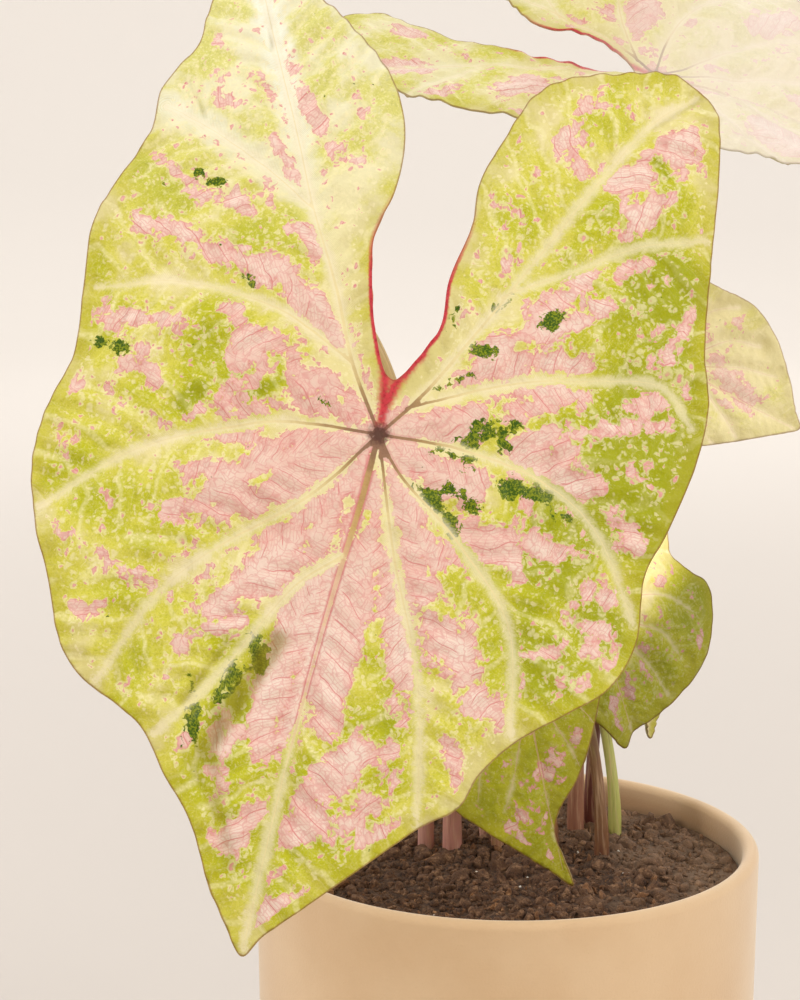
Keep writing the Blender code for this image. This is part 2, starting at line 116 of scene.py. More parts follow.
LEAVES = {
    "front": dict(
        outline=FRONT_OUTLINE, span=(1.0, 1.0), at=(-37.2, -110, 274.5), face=(0, 22.8, 14.5),
        fold=(5, 5), cup=(0.0036, 0.0036), tip=0.0010, lobe=0.0018, size=120, wave=(2.2, 7, 0.6),
        puff=1.6, foot=(-16, 14), stalk=(2.7, 1.7), reach=(95, 62)),
    "low": dict(
        outline=LOW_OUTLINE, span=(0.38, 0.46), at=(2, -40, 198), face=(-4, 10, -12),
        fold=(8, 8), cup=(0.006, 0.006), tip=0.004, lobe=0.004, size=60, wave=(1.5, 6, 1.0),
        puff=1.0, foot=(14, 13), stalk=(2.1, 1.3), reach=(20, 10)),
    "side": dict(
        outline=SIDE_OUTLINE, span=(0.44, 0.34), at=(25, -6, 206), face=(20, 22, -14),
        fold=(6, 4), cup=(0.006, 0.009), tip=0.008, lobe=0.004, size=50, wave=(1.5, 5, 0.0),
        puff=1.0, foot=(29, 6), stalk=(1.9, 1.3), reach=(38, 24)),
    "under": dict(
        outline=FAR_OUTLINE, span=(0.36, 0.34), scale=0.88, at=(43, 40, 196), face=(66, 12, 4),
        fold=(8, 8), cup=(0.008, 0.008), tip=0.006, lobe=0.005, size=50, wave=(1.2, 5, 0.7),
        puff=0.9, foot=(35, 30), stalk=(1.8, 1.2), reach=(36, 20)),
    "far": dict(
        outline=FAR_OUTLINE, span=(0.36, 0.35), at=(55, 75, 269), face=(0, 18, -62),
        fold=(8, 8), cup=(0.006, 0.006), tip=0.004, lobe=0.004, size=55, wave=(1.5, 6, 2.0),
        puff=1.0, foot=(28, 37), stalk=(2.0, 1.3), reach=(75, 35)),
    "top": dict(
        outline=TOP_OUTLINE, span=(0.66, 0.83), at=(43.4, 30, 360.6), face=(0, 50, -68),
        fold=(22, 8), cup=(0.006, 0.004), tip=0.003, lobe=0.002, size=105, wave=(3.0, 6, 1.0),
        puff=1.4, foot=(23, 33), stalk=(2.4, 1.5), reach=(110, 60)),
    "left": dict(
        outline=FAR_OUTLINE, span=(0.36, 0.35), scale=1.1, at=(-73, 41, 317), face=(-125, 35, 0),
        fold=(9, 9), cup=(0.006, 0.006), tip=0.006, lobe=0.004, size=60, wave=(1.6, 6, 0.4),
        puff=1.0, foot=(-24, 18), stalk=(2.2, 1.4), reach=(150, 50)),
    "rear": dict(
        outline=FAR_OUTLINE, span=(0.36, 0.35), scale=1.15, at=(-16, 92, 224), face=(176, 38, 6),
        fold=(9, 9), cup=(0.006, 0.006), tip=0.006, lobe=0.004, size=60, wave=(1.6, 7, 1.4),
        puff=1.0, foot=(-5, 28), stalk=(2.1, 1.3), reach=(60, 30)),
}
SPEAR_FOOT = (-2, 16)
SPEAR_TIP = (7, 6, 205)
SPEAR_RADII = [(0.0, 1.9), (0.45, 1.7), (0.6, 2.9), (0.78, 2.3), (1.0, 0.5)]

# Markings of the leaves, listed as short strokes from one spot to another with a half-width,
# all in millimetres in the leaf's plane.
PINK_STROKES = {"front": [
    (50, -93, 45, -82, 2.0), (44, -84, 36, -76, 2.8), (56, -88, 42, -74, 1.2), (45, -68, 35, -58, 1.8),
    (75, -59, 64, -52, 2.2), (64, -51, 48, -49, 2.8), (74, -40, 57, -38, 4.2), (57, -37, 34, -33, 4.5),
    (33, -47, 27, -43, 2.8), (34, -33, 14, -20, 4.2), (37, -14, 23, -8, 5.5), (46, -22, 41, -19, 2.2),
    (72, -14, 61, -15, 1.8), (56, -16, 52, -15, 1.5), (64, -7, 55, 5, 2.8), (56, 9, 51, 10, 1.5),
    (48, 6, 27, -2, 2.8), (27, -1, 6, -5, 2.8), (78, 7, 75, 8, 1.5), (69, 6, 64, 6, 1.5),
    (79, 16, 74, 19, 2.0), (41, 10, 30, 9, 1.9), (45, -58, 42, -52, 1.5), (53, -64, 50, -62, 1.5),
    (64, -78, 58, -77, 1.5), (67, -85, 65, -83, 1.2), (69, -96, 67, -93, 1.1), (65, -68, 61, -66, 1.6),
    (31, -70, 23, -68, 1.8), (31, -63, 30, -60, 0.6), (29, -56, 27, -51, 0.6), (29, -84, 25, -79, 1.2),
    (18, 17, 4, 2, 4.8), (46, 21, 36, 20, 3.0), (33, 29, 18, 18, 4.0), (45, 31, 41, 32, 2.2),
    (18, 32, 4, 15, 3.2), (32, 54, 11, 35, 3.8), (34, 61, 21, 54, 2.5), (58, 46, 42, 51, 4.2),
    (72, 44, 68, 43, 1.0), (62, 62, 57, 61, 1.2), (42, 73, 37, 72, 1.5), (1, 33, 3, 80, 3.1),
    (0, 17, -1, 55, 3.0), (-4, 18, -12, 27, 3.2), (-13, 32, -20, 53, 2.2), (9, 85, 3, 79, 2.5),
    (10, 105, 4, 97, 3.0), (18, 90, 16, 84, 1.8), (-5, 91, -15, 77, 3.8), (-16, 95, -22, 88, 2.5),
    (-3, 102, -9, 97, 2.0), (-2, 110, -5, 108, 1.2), (-4, 121, -5, 116, 1.5), (-43, -80, -58, -96, 4.2),
    (-30, -99, -37, -101, 1.2), (-26, -86, -30, -90, 1.6), (-47, -65, -52, -74, 3.0),
    (-43, -56, -38, -50, 2.5), (-40, -49, -33, -40, 2.8), (-49, -54, -55, -61, 2.5),
    (-21, -27, -33, -35, 3.5), (-33, -34, -46, -43, 3.0), (-65, -38, -69, -50, 3.5),
    (-18, -18, -21, -23, 2.5), (-16, -65, -21, -62, 0.8), (-17, -60, -18, -64, 0.6),
    (-7, -2, -21, -11, 3.0), (-32, -14, -38, -18, 2.8), (-36, -20, -45, -24, 1.8),
    (-48, -12, -70, -21, 3.5), (-59, -22, -70, -28, 2.8), (-34, -5, -42, -10, 2.2),
    (-38, -3, -53, 1, 4.2), (-62, -7, -69, -3, 2.8), (-4, 4, -24, 8, 3.5), (-8, 18, -21, 26, 3.5),
    (-10, 29, -22, 57, 2.5), (-18, 32, -22, 36, 2.0), (-27, 19, -57, 17, 2.5), (-32, 22, -36, 23, 1.5),
    (-42, 26, -45, 27, 1.1), (-61, 24, -67, 26, 2.2), (-62, 4, -69, 11, 3.2), (-58, 34, -67, 34, 2.0),
    (-47, 45, -57, 42, 0.9), (-61, 40, -67, 38, 1.4), (-29, 46, -35, 53, 3.0), (-39, 58, -46, 61, 2.5),
    (-58, 49, -63, 47, 1.5), (-20, 63, -24, 66, 1.8), (-37, 72, -40, 78, 1.8),
    (4, 10, 8, 30, 3.5), (14, 30, 28, 52, 4.5), (7, 44, 10, 78, 5.5), (-4, 12, -5, 72, 3.5),
    (-7, 8, -16, 28, 4.0), (-5, -3, -20, -6, 4.5), (10, 6, 26, 14, 5.0), (26, 14, 40, 30, 4.5),
    (-24, -26, -44, -30, 4.0), (-28, -20, -46, -22, 3.0), (6, -6, 30, -14, 2.5)],
    "low": [(10, 35, 8, 42, 2.0), (15, 44, 10, 47, 0.8), (3, 48, 2, 56, 0.8)],
    "side": [(-8, 15, -10, 24, 2.9), (-15, 8, -18, 14, 1.7), (-31, 3, -34, 8, 1.1),
             (4, 26, 2, 32, 1.2)],
    "far": [(-7, 11, 0, 28, 5.8), (-25, 10, -21, 16, 2.3)]}
DARK_STROKES = {"front": [
    (64, -56, 61, -56, 0.5), (59, -54, 57, -54, 0.6), (73, -50, 70, -50, 0.8), (45, -32, 42, -31, 1.0),
    (78, -8, 75, -6, 0.9), (70, -5, 68, -6, 0.5), (16, -4, 14, -4, 0.7),
    # The strokes at (16, 57), (20, 66), (26, 76) and (29, 70) lie in the fold low on the left: partly the
    # leaf's dark green, partly painted shade of that fold.
    (-21, -3, -32, -10, 1.9), (-26, -8, -31, -4, 1.4), (16, 57, 13, 63, 1.5), (20, 66, 21, 73, 1.4),
    (26, 76, 25, 83, 1.2), (29, 70, 27, 74, 1.0),
    (-15, 1, -24, 1, 1.2), (-11, 9, -23, 17, 1.1), (-21, 10, -29, 13, 1.5), (-34, 6, -44, 5, 2.0),
    (-47, 9, -51, 9, 1.1), (-12, -15, -18, -20, 1.1), (-18, -27, -23, -27, 0.9),
    (-21, -38, -23, -41, 0.9), (-34, -37, -36, -40, 1.4), (-10, -32, -11, -36, 0.9),
    (-21, 16, -24, 21, 0.9)]}
LIME_STROKES = {"front": [
    (79, -50, 62, -46, 5.0), (49, -43, 33, -42, 4.0), (50, -17, 40, -6, 5.5), (-17, 57, -24, 79, 7.5),
    (18, 80, 13, 60, 7.5), (-58, -63, -68, -55, 6.2), (-66, 5, -78, -11, 5.0), (-54, 52, -71, 37, 6.2),
    (75, 22, 62, 28, 6.2), (82, -30, 73, -10, 5.0)]}
GREEN_HOLES = {"front": [
    (41, -8, 38, -5, 2.0), (30, -13, 27, -8, 1.6), (33, -2, 26, -7, 2.0), (-51, -88, -54, -85, 1.7),
    (49, 4, 46, 0, 2.6)]}
# Creases: from one spot to another, half-width and depth; a positive depth also paints shade in the
# crease.
CREASES = {"front": [
    (58, -107, 54, -95, 1.0, 0.7), (73, -82, 66, -73, 1.0, 0.8), (-48, -98, -58, -111, 1.4, 0.8),
    (24, -68, 12, -53, 2.0, -0.9), (11, 56, 21, 86, 3.2, 1.9), (18, 89, 8, 111, 2.4, 1.0),
    (26, 88, 14, 100, 1.6, 0.8), (30, 76, 23, 60, 1.5, 1.1), (36, 78, 31, 68, 1.1, 0.7),
    (17, 58, 25, 80, 1.0, -0.7)]}
# How green, pink and washed out a leaf is, beyond the front leaf's own markings, how much painted light
# and shade scale its colour, and how much narrower its pale vein bands are, in millimetres. The low leaf's
# extra green is partly painted shade, and the far leaf's washed-out share is painted light.
LEAF_TINTS = {"front": (0.0, 0.0, 0.0, 1.0, 0.0), "low": (4.2, -0.7, 0.0, 0.86, 1.2),
              "side": (-1.2, -2.2, 0.0, 1.68, 0.8), "under": (1.2, -1.6, 0.0, 0.86, 0.9),
              "far": (-0.4, -2.8, 0.2, 1.12, 0.7), "top": (0.3, 2.8, 0.0, 0.92, 0.4),
              "left": (0.3, -0.6, 0.0, 1.0, 0.4), "rear": (0.5, -0.6, 0.0, 1.0, 0.4)}
# Spots of the front leaf that are greener (positive) or paler, and pinker or less pink: middle,
# reach and amount, in millimetres.
RIPE_SPOTS = [(-45, -76, 34, 1.5), (-62, -48, 20, 3.2), (66, 19, 34, 0.4), (47, -9, 22, 1.5),
              (52, 50, 28, 1.6), (-66, -11, 26, 6.2), (-51, 30, 28, 4.0), (-3, 104, 30, 3.2),
              # The greener spot at (20, 74) lies in the fold low on the left: partly the leaf's own
              # colour, partly painted shade of that fold.
              (20, 74, 22, 1.2), (56, -42, 24, 0.4), (-30, -60, 18, 1.2)]
BLUSH_SPOTS = [(56, -42, 22, -1.5), (-61, -51, 22, -2.8), (50, 48, 24, -2.6), (-63, -11, 24, -1.8),
               (-29, 4, 18, 2.8), (-11, 58, 22, 1.8), (-3, 104, 22, 0.2), (34, -90, 30, -0.4),
               # The less pink spot at (18, 74) lies in the fold low on the left: partly the leaf's own
               # colour, partly painted shade of that fold.
               (68, 16, 24, -2.6), (18, 74, 18, -1.6), (-39, -60, 18, 1.0)]
SUTURE = [[(5, -24), (2, -14), (0.5, -6), (0, 0)], [(-5, -22), (-1, -14), (0.5, -6), (0, 0)]]

# From foot to top, as seen on a screen.
STALK_TONES = {
    "stalk_front": ((196, 140, 128), (190, 150, 110), (196, 170, 110)),
    "stalk_left": ((202, 150, 138), (190, 156, 116), (200, 178, 118)),
    "stalk_rear": ((200, 148, 134), (182, 160, 104), (190, 182, 110)),
    "stalk_low": ((168, 104, 76), (150, 108, 70), (176, 166, 86)),
    "stalk_side": ((104, 58, 46), (132, 96, 62), (190, 190, 100)),
    "stalk_under": ((176, 172, 96), (186, 190, 104), (192, 194, 102)),
    "stalk_far": ((112, 60, 52), (120, 70, 56), (170, 150, 92)),
    "stalk_top": ((158, 110, 88), (172, 128, 92), (196, 170, 112)),
    "young_leaf": ((190, 140, 120), (188, 150, 112), (204, 196, 120)),
}

# Middle, light and dark.
SOIL_TONES = {
    "dark_potting_soil": ((72, 50, 34), (112, 84, 62), (46, 30, 20)),
    "soil_crumbs": ((92, 64, 44), (142, 108, 80), (54, 36, 25)),
    "bark_bits": ((122, 84, 54), (168, 126, 88), (70, 44, 30)),
    "white_grit": ((226, 220, 208), (244, 240, 232), (190, 180, 166)),
}

# Surface, bits a square metre, size, stretch, seed and times that each bit's faces are split.
SOIL_BITS = {
    "soil_clods": ("soil_crumbs", 26000, 0.0036, (1.0, 0.9, 0.75), 31, 3),
    "soil_crumbs": ("soil_crumbs", 110000, 0.0021, (1.0, 1.0, 0.8), 4, 2),
    "soil_grit": ("soil_crumbs", 330000, 0.0010, (1.0, 0.9, 0.9), 11, 1),
    "bark_bits": ("bark_bits", 16000, 0.0034, (1.0, 0.4, 0.3), 17, 2),
    "white_grit": ("white_grit", 4200, 0.0008, (1.0, 0.9, 0.9), 23, 2),
}
SOIL_BITS_REACH = 0.0672


def tone(red, green, blue):
    """A colour seen on a screen, 0 to 255, as the light it reflects, by the screen's own curve."""
    shares = np.array([red, green, blue]) / 255
    return (*np.where(shares <= 0.04045, shares / 12.92, ((shares + 0.055) / 1.055) ** 2.4), 1.0)


def arithmetic(operation, swapped=False):
    """An operator of Term, which adds a Math node."""
    def apply(self, other):
        return self.graph.math(operation, *((other, self) if swapped else (self, other)))
    return apply


class Term:
    """One value of a node tree: sums and products of terms become nodes."""

    def __init__(self, graph, socket):
        self.graph, self.socket = graph, socket

    __add__, __radd__ = arithmetic("ADD"), arithmetic("ADD", swapped=True)
    __sub__, __rsub__ = arithmetic("SUBTRACT"), arithmetic("SUBTRACT", swapped=True)
    __mul__, __rmul__ = arithmetic("MULTIPLY"), arithmetic("MULTIPLY", swapped=True)
    __truediv__, __rtruediv__ = arithmetic("DIVIDE"), arithmetic("DIVIDE", swapped=True)
    __pow__ = arithmetic("POWER")

    def __abs__(self):
        return self.graph.math("ABSOLUTE", self)

    def step(self, start, end):
        """0 at start and 1 at end, smooth between and flat outside; start may be the larger one."""
        return self.graph.node("ShaderNodeMapRange", {"interpolation_type": "SMOOTHSTEP"},
                               {0: self, 1: start, 2: end, 3: 0.0, 4: 1.0})


class Graph:
    """A node tree, of a material or of geometry, filled by calls."""

    def __init__(self, tree):
        self.tree = tree

    def give(self, socket, value):
        if isinstance(value, Term):
            self.tree.links.new(value.socket, socket)
        else:
            socket.default_value = value

    def node(self, kind, settings=None, inputs=None, out=0):
        made = self.tree.nodes.new(kind)
        for key, value in (settings or {}).items():
            setattr(made, key, value)
        for key, value in (inputs or {}).items():
            self.give(made.inputs[key], value)
        return Term(self, made.outputs[out])

    def math(self, operation, *values):
        return self.node("ShaderNodeMath", {"operation": operation}, dict(enumerate(values)))

    def vector(self, operation, *values, out=0):
        return self.node("ShaderNodeVectorMath", {"operation": operation}, dict(enumerate(values)), out)

    def scaled(self, vector, factor):
        return self.node("ShaderNodeVectorMath", {"operation": "SCALE"}, {0: vector, "Scale": factor})

    def point(self, x, y, z):
        return self.node("ShaderNodeCombineXYZ", None, {0: x, 1: y, 2: z})

    def drift(self, spot, scale, detail):
        """A noise vector about (0, 0, 0)."""
        cloud = self.node("ShaderNodeTexNoise", None,
                          {"Vector": spot, "Scale": scale, "Detail": detail}, out=1)
        return self.vector("SUBTRACT", cloud, (0.5, 0.5, 0.5))

    def named(self, name):
        """A value that the geometry carries."""
        return self.node("GeometryNodeInputNamedAttribute", {"data_type": "FLOAT"}, {"Name": name})

    def keep(self, geometry, name, value):
        """The geometry, with a value that it then carries."""
        return self.node("GeometryNodeStoreNamedAttribute", {"data_type": "FLOAT", "domain": "POINT"},
                         {"Geometry": geometry, "Name": name, "Value": value})


class Look(Graph):
    """A material being built."""

    def __init__(self, name, roughness):
        self.material = bpy.data.materials.new(name)
        self.material.use_nodes = True
        super().__init__(self.material.node_tree)
        self.shader = self.tree.nodes["Principled BSDF"].inputs
        self.shader["Roughness"].default_value = roughness

    def field(self, name):
        """A value stored on the mesh."""
        return self.node("ShaderNodeAttribute", {"attribute_name": name}, None, out=2)

    def millimetres(self):
        """The spot on the object, in millimetres."""
        return self.scaled(self.node("ShaderNodeTexCoord", None, None, out=3), 1000.0)

    def noise(self, spot, size, detail=2.0, roughness=0.5):
        """Noise about 0, with lumps of that size in the spot's unit."""
        return self.node("ShaderNodeTexNoise", None, {
            "Vector": spot, "Scale": 1.0 / size, "Detail": detail, "Roughness": roughness}) - 0.5

    def larger(self, first, *others):
        for other in others:
            first = self.math("MAXIMUM", first, other)
        return first

    def stripe(self, place):
        """Stripes one unit apart: 0.5 on each line, 0 half-way between two."""
        return abs(self.math("FRACT", place) - 0.5)

    def coats(self, base, *layers):
        """A base colour with layers over it, each a share and a colour: a term or a screen tone."""
        def paint(colour):
            return colour if isinstance(colour, Term) else tone(*colour)
        for share, colour in layers:
            base = self.node("ShaderNodeMix", {"data_type": "RGBA"},
                             {0: share, 6: paint(base), 7: paint(colour)}, out=2)
        return base

    def wear(self, values):
        """Gives the shader its values."""
        for socket, value in values.items():
            self.give(self.shader[socket], value)

    def bump(self, height, depth):
        """Fine relief; depth is in metres."""
        self.wear({"Normal": self.node("ShaderNodeBump", None, {
            "Strength": 1.0, "Distance": depth, "Height": height})})


def rough(points, size, seed, detail=1):
    """Noise between about -1 and 1 at each flat point."""
    return np.array([noise.fractal(Vector((x / size, y / size, seed)), 1.0, 2.0, detail)
                     for x, y in points])


def ease(values, low, high):
    share = np.clip((values - low) / (high - low), 0, 1)
    return share * share * (3 - 2 * share)


def spline(points, step):
    """A Catmull-Rom curve from the second point to the last but one, a sample about every step."""
    found = []
    for p0, p1, p2, p3 in zip(points, points[1:], points[2:], points[3:]):
        count = max(1, round(float(np.linalg.norm(p2 - p1)) / step))
        for t in np.arange(count) / count:
            found.append(0.5 * (2 * p1 + (p2 - p0) * t + (2 * p0 - 5 * p1 + 4 * p2 - p3) * t ** 2
                                + (3 * p1 - p0 - 3 * p2 + p3) * t ** 3))
    return found


def smooth_closed(points, step):
    return np.array(spline(np.vstack([points[-1:], points, points[:2]]), step))


def smooth_open(points, step):
    before, after = 2 * points[0] - points[1], 2 * points[-1] - points[-2]
    return np.array(spline(np.vstack([before, points, after]), step) + [points[-1]])


def along_line(points, line):
    """Each point's distance to a polyline, how far along it the nearest spot is, and its length."""
    best, along, run = np.full(len(points), 1e9), np.zeros(len(points)), 0.0
    for start, end in zip(line, line[1:]):
        step = end - start
        length = max(float(np.linalg.norm(step)), 1e-9)
        share = np.clip((points - start) @ step / length ** 2, 0, 1)
        gap = np.linalg.norm(points - start - share[:, None] * step, axis=1)
        nearer = gap < best
        best = np.where(nearer, gap, best)
        along = np.where(nearer, run + share * length, along)
        run += length
    return best, along, run


def inside(points, polygon):
    """Which points lie inside a closed polygon, by crossings."""
    result = np.zeros(len(points), bool)
    x, y = points[:, 0], points[:, 1]
    for (x0, y0), (x1, y1) in zip(polygon, np.roll(polygon, -1, axis=0)):
        if y0 != y1:
            result ^= ((y0 > y) != (y1 > y)) & (x < (x1 - x0) * (y - y0) / (y1 - y0) + x0)
    return result


def leaf_span(leaf):
    return np.array(leaf["span"]) * leaf.get("scale", 1.0)


def leaf_veins(leaf, step):
    """The front leaf's vein pattern, drawn to this leaf's own width and length."""
    return [smooth_open(np.array(vein, float) * leaf_span(leaf), step) for vein in FRONT_VEINS]


def arc(length, rate):
    """How far a circular bend of this rate runs forward, and how far it drops."""
    rate = np.where(np.abs(rate) < 1e-7, 1e-7, rate)
    return np.sin(rate * length) / rate, (1 - np.cos(rate * length)) / rate


def bend(flat, vein_gap, relief, leaf):
    """Flat leaf coordinates to the bent leaf's own frame, all in millimetres."""
    x, y = flat[:, 0], flat[:, 1]
    rate = np.where(y > 0, leaf["tip"], leaf["lobe"])
    run, drop = arc(y, rate)
    turn = rate * y
    fold = np.radians(np.where(x > 0, leaf["fold"][0], leaf["fold"][1]))
    across, sag = arc(x, np.where(x > 0, leaf["cup"][0], leaf["cup"][1]))
    height, count, phase = leaf["wave"]
    reach = np.hypot(x, y) / leaf["size"]
    wave = height * reach ** 2 * np.sin(count * np.arctan2(x, y) + phase)
    quilt = leaf["puff"] * (1 - np.exp(-(vein_gap / (0.05 * leaf["size"])) ** 2))
    lift = np.abs(across) * np.sin(fold) - sag * np.cos(fold) + wave + quilt + relief
    across = across * np.cos(fold)
    return np.stack([across, run + lift * np.sin(turn), lift * np.cos(turn) - drop], axis=-1)


def leaf_axes(leaf):
    """Unit vectors across the leaf, towards its tip, and out of its upper face."""
    azimuth, elevation, roll = np.radians(leaf["face"])
    out = np.array([math.sin(azimuth) * math.cos(elevation),
                    -math.cos(azimuth) * math.cos(elevation), math.sin(elevation)])
    level = np.array([-math.cos(azimuth), -math.sin(azimuth), 0.0])
    down = np.cross(out, level)
    tip = math.cos(roll) * down + math.sin(roll) * level
    return np.cross(tip, out), tip, out


def fine_triangles(leaf):
    """The flat leaf as even fine triangles with its main veins along their edges."""
    rim = smooth_closed(np.array(leaf["outline"], float) * leaf.get("scale", 1.0), TRIANGLE * 0.9)
    edge = np.vstack([rim, rim[:1]])
    low, high = rim.min(axis=0), rim.max(axis=0)
    rows = np.arange(low[1], high[1], TRIANGLE * ROW_PITCH)
    grid = np.array([(x + (row % 2) * TRIANGLE / 2, y) for row, y in enumerate(rows)
                     for x in np.arange(low[0], high[0], TRIANGLE)])
    grid = grid[inside(grid, rim)]
    grid = grid[along_line(grid, edge)[0] > TRIANGLE * 0.55]
    coarse = leaf_veins(leaf, 3.0)
    near_vein = np.min([along_line(grid, vein)[0] for vein in coarse], axis=0) < TRIANGLE * 0.5
    points, links = list(rim), [(i, (i + 1) % len(rim)) for i in range(len(rim))]
    for vein in leaf_veins(leaf, TRIANGLE * 0.8):
        keep = inside(vein, rim) & (along_line(vein, edge)[0] > TRIANGLE * 0.6)
        for i, spot in enumerate(vein):
            if keep[i]:
                points.append(spot)
                if i and keep[i - 1]:
                    links.append((len(points) - 2, len(points) - 1))
    points += list(grid[~near_vein])
    spots, _, faces, *_ = delaunay_2d_cdt([Vector(p) for p in points], links, [], 1, 0.08)
    return np.array([tuple(spot) for spot in spots]), faces, edge


def stroke_depth(points, strokes, reach=6.0):
    """How deep each point lies in the nearest stroke, in millimetres; negative outside."""
    deepest = np.full(len(points), -reach)
    for x0, y0, x1, y1, width in strokes:
        line = np.array([(x0, y0), (x1, y1)], float)
        deepest = np.maximum(deepest, width - along_line(points, line)[0])
    return deepest


def spread(points, spots):
    """The sum of soft round spots at each point."""
    return sum(amount * np.exp(-((points[:, 0] - x) ** 2 + (points[:, 1] - y) ** 2) / reach ** 2)
               for x, y, reach, amount in spots)


def pink_strokes(name, leaf, seed, rim):
    """Pink strokes for a leaf: those listed, and seeded ones that lie across its half."""
    placed = list(PINK_STROKES.get(name, []))
    if name == "front":
        return placed
    chance = np.random.default_rng(seed)
    span = leaf_span(leaf)
    low, high = rim.min(axis=0), rim.max(axis=0)
    for _ in range(46):
        spot = chance.uniform(low, high)
        aim = math.atan2(spot[1] + 10, spot[0]) + chance.normal(0, 0.45)
        length = chance.uniform(2, 15) * span.mean()
        end = spot + length * np.array([math.cos(aim), math.sin(aim)])
        placed.append((*spot, *end, chance.uniform(1.2, 4.6) * span.mean() ** 0.6))
    return placed


def vein_fields(leaf, flat):
    """Each point's distance to every main vein and how far along it that is, and its nearest rib's
    distance in widths of that rib."""
    fine = float(leaf_span(leaf).mean())
    gaps, runs, ratios = [], [], []
    for vein, width in zip(leaf_veins(leaf, 2.0), VEIN_WIDTHS):
        gap, run, whole = along_line(flat, vein)
        gaps.append(gap)
        runs.append(run)
        ratios.append(gap / (width * fine ** 0.5 * (1.05 - 0.8 * run / whole)))
    return np.array(gaps), np.array(runs), np.minimum(ratios, 9.0).min(axis=0)


def leaf_tints(name, flat):
    """How green, pink and washed out a leaf is at each point, its painted light and shade, and how thin
    its bands are.
    """
    green, blush, wan, painted_light, thin = (np.full(len(flat), tint) for tint in LEAF_TINTS[name])
    x, y = flat[:, 0], flat[:, 1]
    if name == "front":
        green += spread(flat, RIPE_SPOTS)
        blush += spread(flat, BLUSH_SPOTS)
    # Painted shade on the side leaf's lower half, which folds away from the light: darker, greener and
    # less pink.
    if name == "side":
        painted_shade_half = ease(y - 0.5 * x, 0, 22)
        green += 4.4 * painted_shade_half
        painted_light -= 1.06 * painted_shade_half
        blush -= 1.0 * painted_shade_half
    if name == "top":
        wan += 0.64 * ease(y, -34, 20)
    return green, blush, wan, painted_light, thin


def leaf_fields(name, leaf, number, flat, edge):
    """What varies over a blade: distances to veins and rim, markings, and relief."""
    span = leaf_span(leaf)
    fine = float(span.mean())
    x, y = flat[:, 0], flat[:, 1]
    gaps, runs, core = vein_fields(leaf, flat)
    order = np.argsort(gaps, axis=0)
    pick = np.arange(len(flat))
    nearest, second = gaps[order[0], pick], gaps[order[1], pick]
    rim_gap = along_line(flat, edge)[0]
    knot = np.hypot(x, y)
    twig = (runs[order[0], pick] - 0.65 * nearest) / (7.0 * fine ** 0.7)
    sector = ease((second - nearest) / (second + nearest + 1e-6), 0.0, 0.35)
    twig_share = sector * ease(nearest, 1.0, 4.0 * fine ** 0.5)
    groove = -0.42 * np.exp(-(nearest / 1.1) ** 2) * ease(-knot, -120 * fine, -20 * fine)
    quilt = 0.5 * np.cos(2 * math.pi * twig) * twig_share * fine ** 0.5
    pucker = 1.25 * rough(flat, 13, number, 3) * fine ** 0.5 + 0.2 * rough(flat, 3.6, number + 9, 2)
    pucker *= ease(knot, 3, 14)
    ruffle = 0.9 * rough(flat, 14, number + 4, 1) * ease(-rim_gap, -9, 0) * fine ** 0.5
    creases = np.zeros(len(flat))
    for x0, y0, x1, y1, width, depth in CREASES.get(name, []):
        gap = along_line(flat, np.array([(x0, y0), (x1, y1)], float))[0]
        creases -= depth * np.exp(-(gap / width) ** 2)
    green, blush, wan, painted_light, thin = leaf_tints(name, flat)
    holes = stroke_depth(flat, GREEN_HOLES.get(name, []), 8.0)
    strokes = pink_strokes(name, leaf, number * 7 + 3, edge)
    suture = np.min([along_line(flat, np.array(line) * span)[0] for line in SUTURE], axis=0)
    bands = gaps.copy()
    bands[0] += 1.4 * ease(-y / fine, -95, -60)
    return {
        "core": core,
        "vein_gap": np.minimum(nearest, 12.0),
        "band_gap": np.minimum(bands.min(axis=0) + thin, 12.0),
        "rim_gap": np.minimum(rim_gap, 12.0),
        "pink": np.minimum(stroke_depth(flat, strokes), -holes) + blush - 0.2,
        "dark": stroke_depth(flat, DARK_STROKES.get(name, []), 4.0),
        "lime": np.maximum(stroke_depth(flat, LIME_STROKES.get(name, []), 8.0), 8.0 * holes),
        "twig": twig,
        "twig_share": twig_share,
        "suture": np.minimum(suture / fine, 8.0),
        "notch": ease(-np.abs(x) / fine, -19, -12) * ease(-y / fine, 8, 20) * ease(y / fine, -66, -40),
        "knot": np.minimum(knot / fine, 150.0),
        # lobe: the upper lobes, painted paler, partly their own colour and partly painted light (on the
        # front leaf, mostly the upper-left one).
        "lobe": ease(-y / fine, 20, 105) * (ease(x, -25, 15) if name == "front" else 0.5),
        "ripe": green,
        "wan": wan,
        "painted_light": painted_light,
        "plain": thin,
        # fold: how deep the creases are, which sets the painted shade in them.
        "fold": np.clip(-creases, 0, 2),
        "sort": np.full(len(flat), float(number)),
    }, groove + quilt + pucker + ruffle + creases, nearest


def face_normals(points, faces):
    """Unit normals at the points of a triangle mesh."""
    first, second, third = (points[corner] for corner in np.array(faces).T)
    across = np.cross(second - first, third - first)
    found = np.zeros_like(points)
    for corner in np.array(faces).T:
        np.add.at(found, corner, across)
    return found / np.linalg.norm(found, axis=1)[:, None]


def open_edges(faces):
    """Edges of one triangle only: the rim."""
    seen = {}
    for face in faces:
        for a, b in zip(face, (*face[1:], face[0])):
            pair = (min(a, b), max(a, b))
            seen[pair] = None if pair in seen else (a, b)
    return [pair for pair in seen.values() if pair]


def store(mesh, fields):
    for key, values in fields.items():
        mesh.attributes.new(key, "FLOAT", "POINT").data.foreach_set("value", values.astype(np.float32))


def outward(mesh):
    """Turns the faces so that they look out."""
    shape = bmesh.new()
    shape.from_mesh(mesh)
    bmesh.ops.recalc_face_normals(shape, faces=shape.faces)
    shape.to_mesh(mesh)
    shape.free()


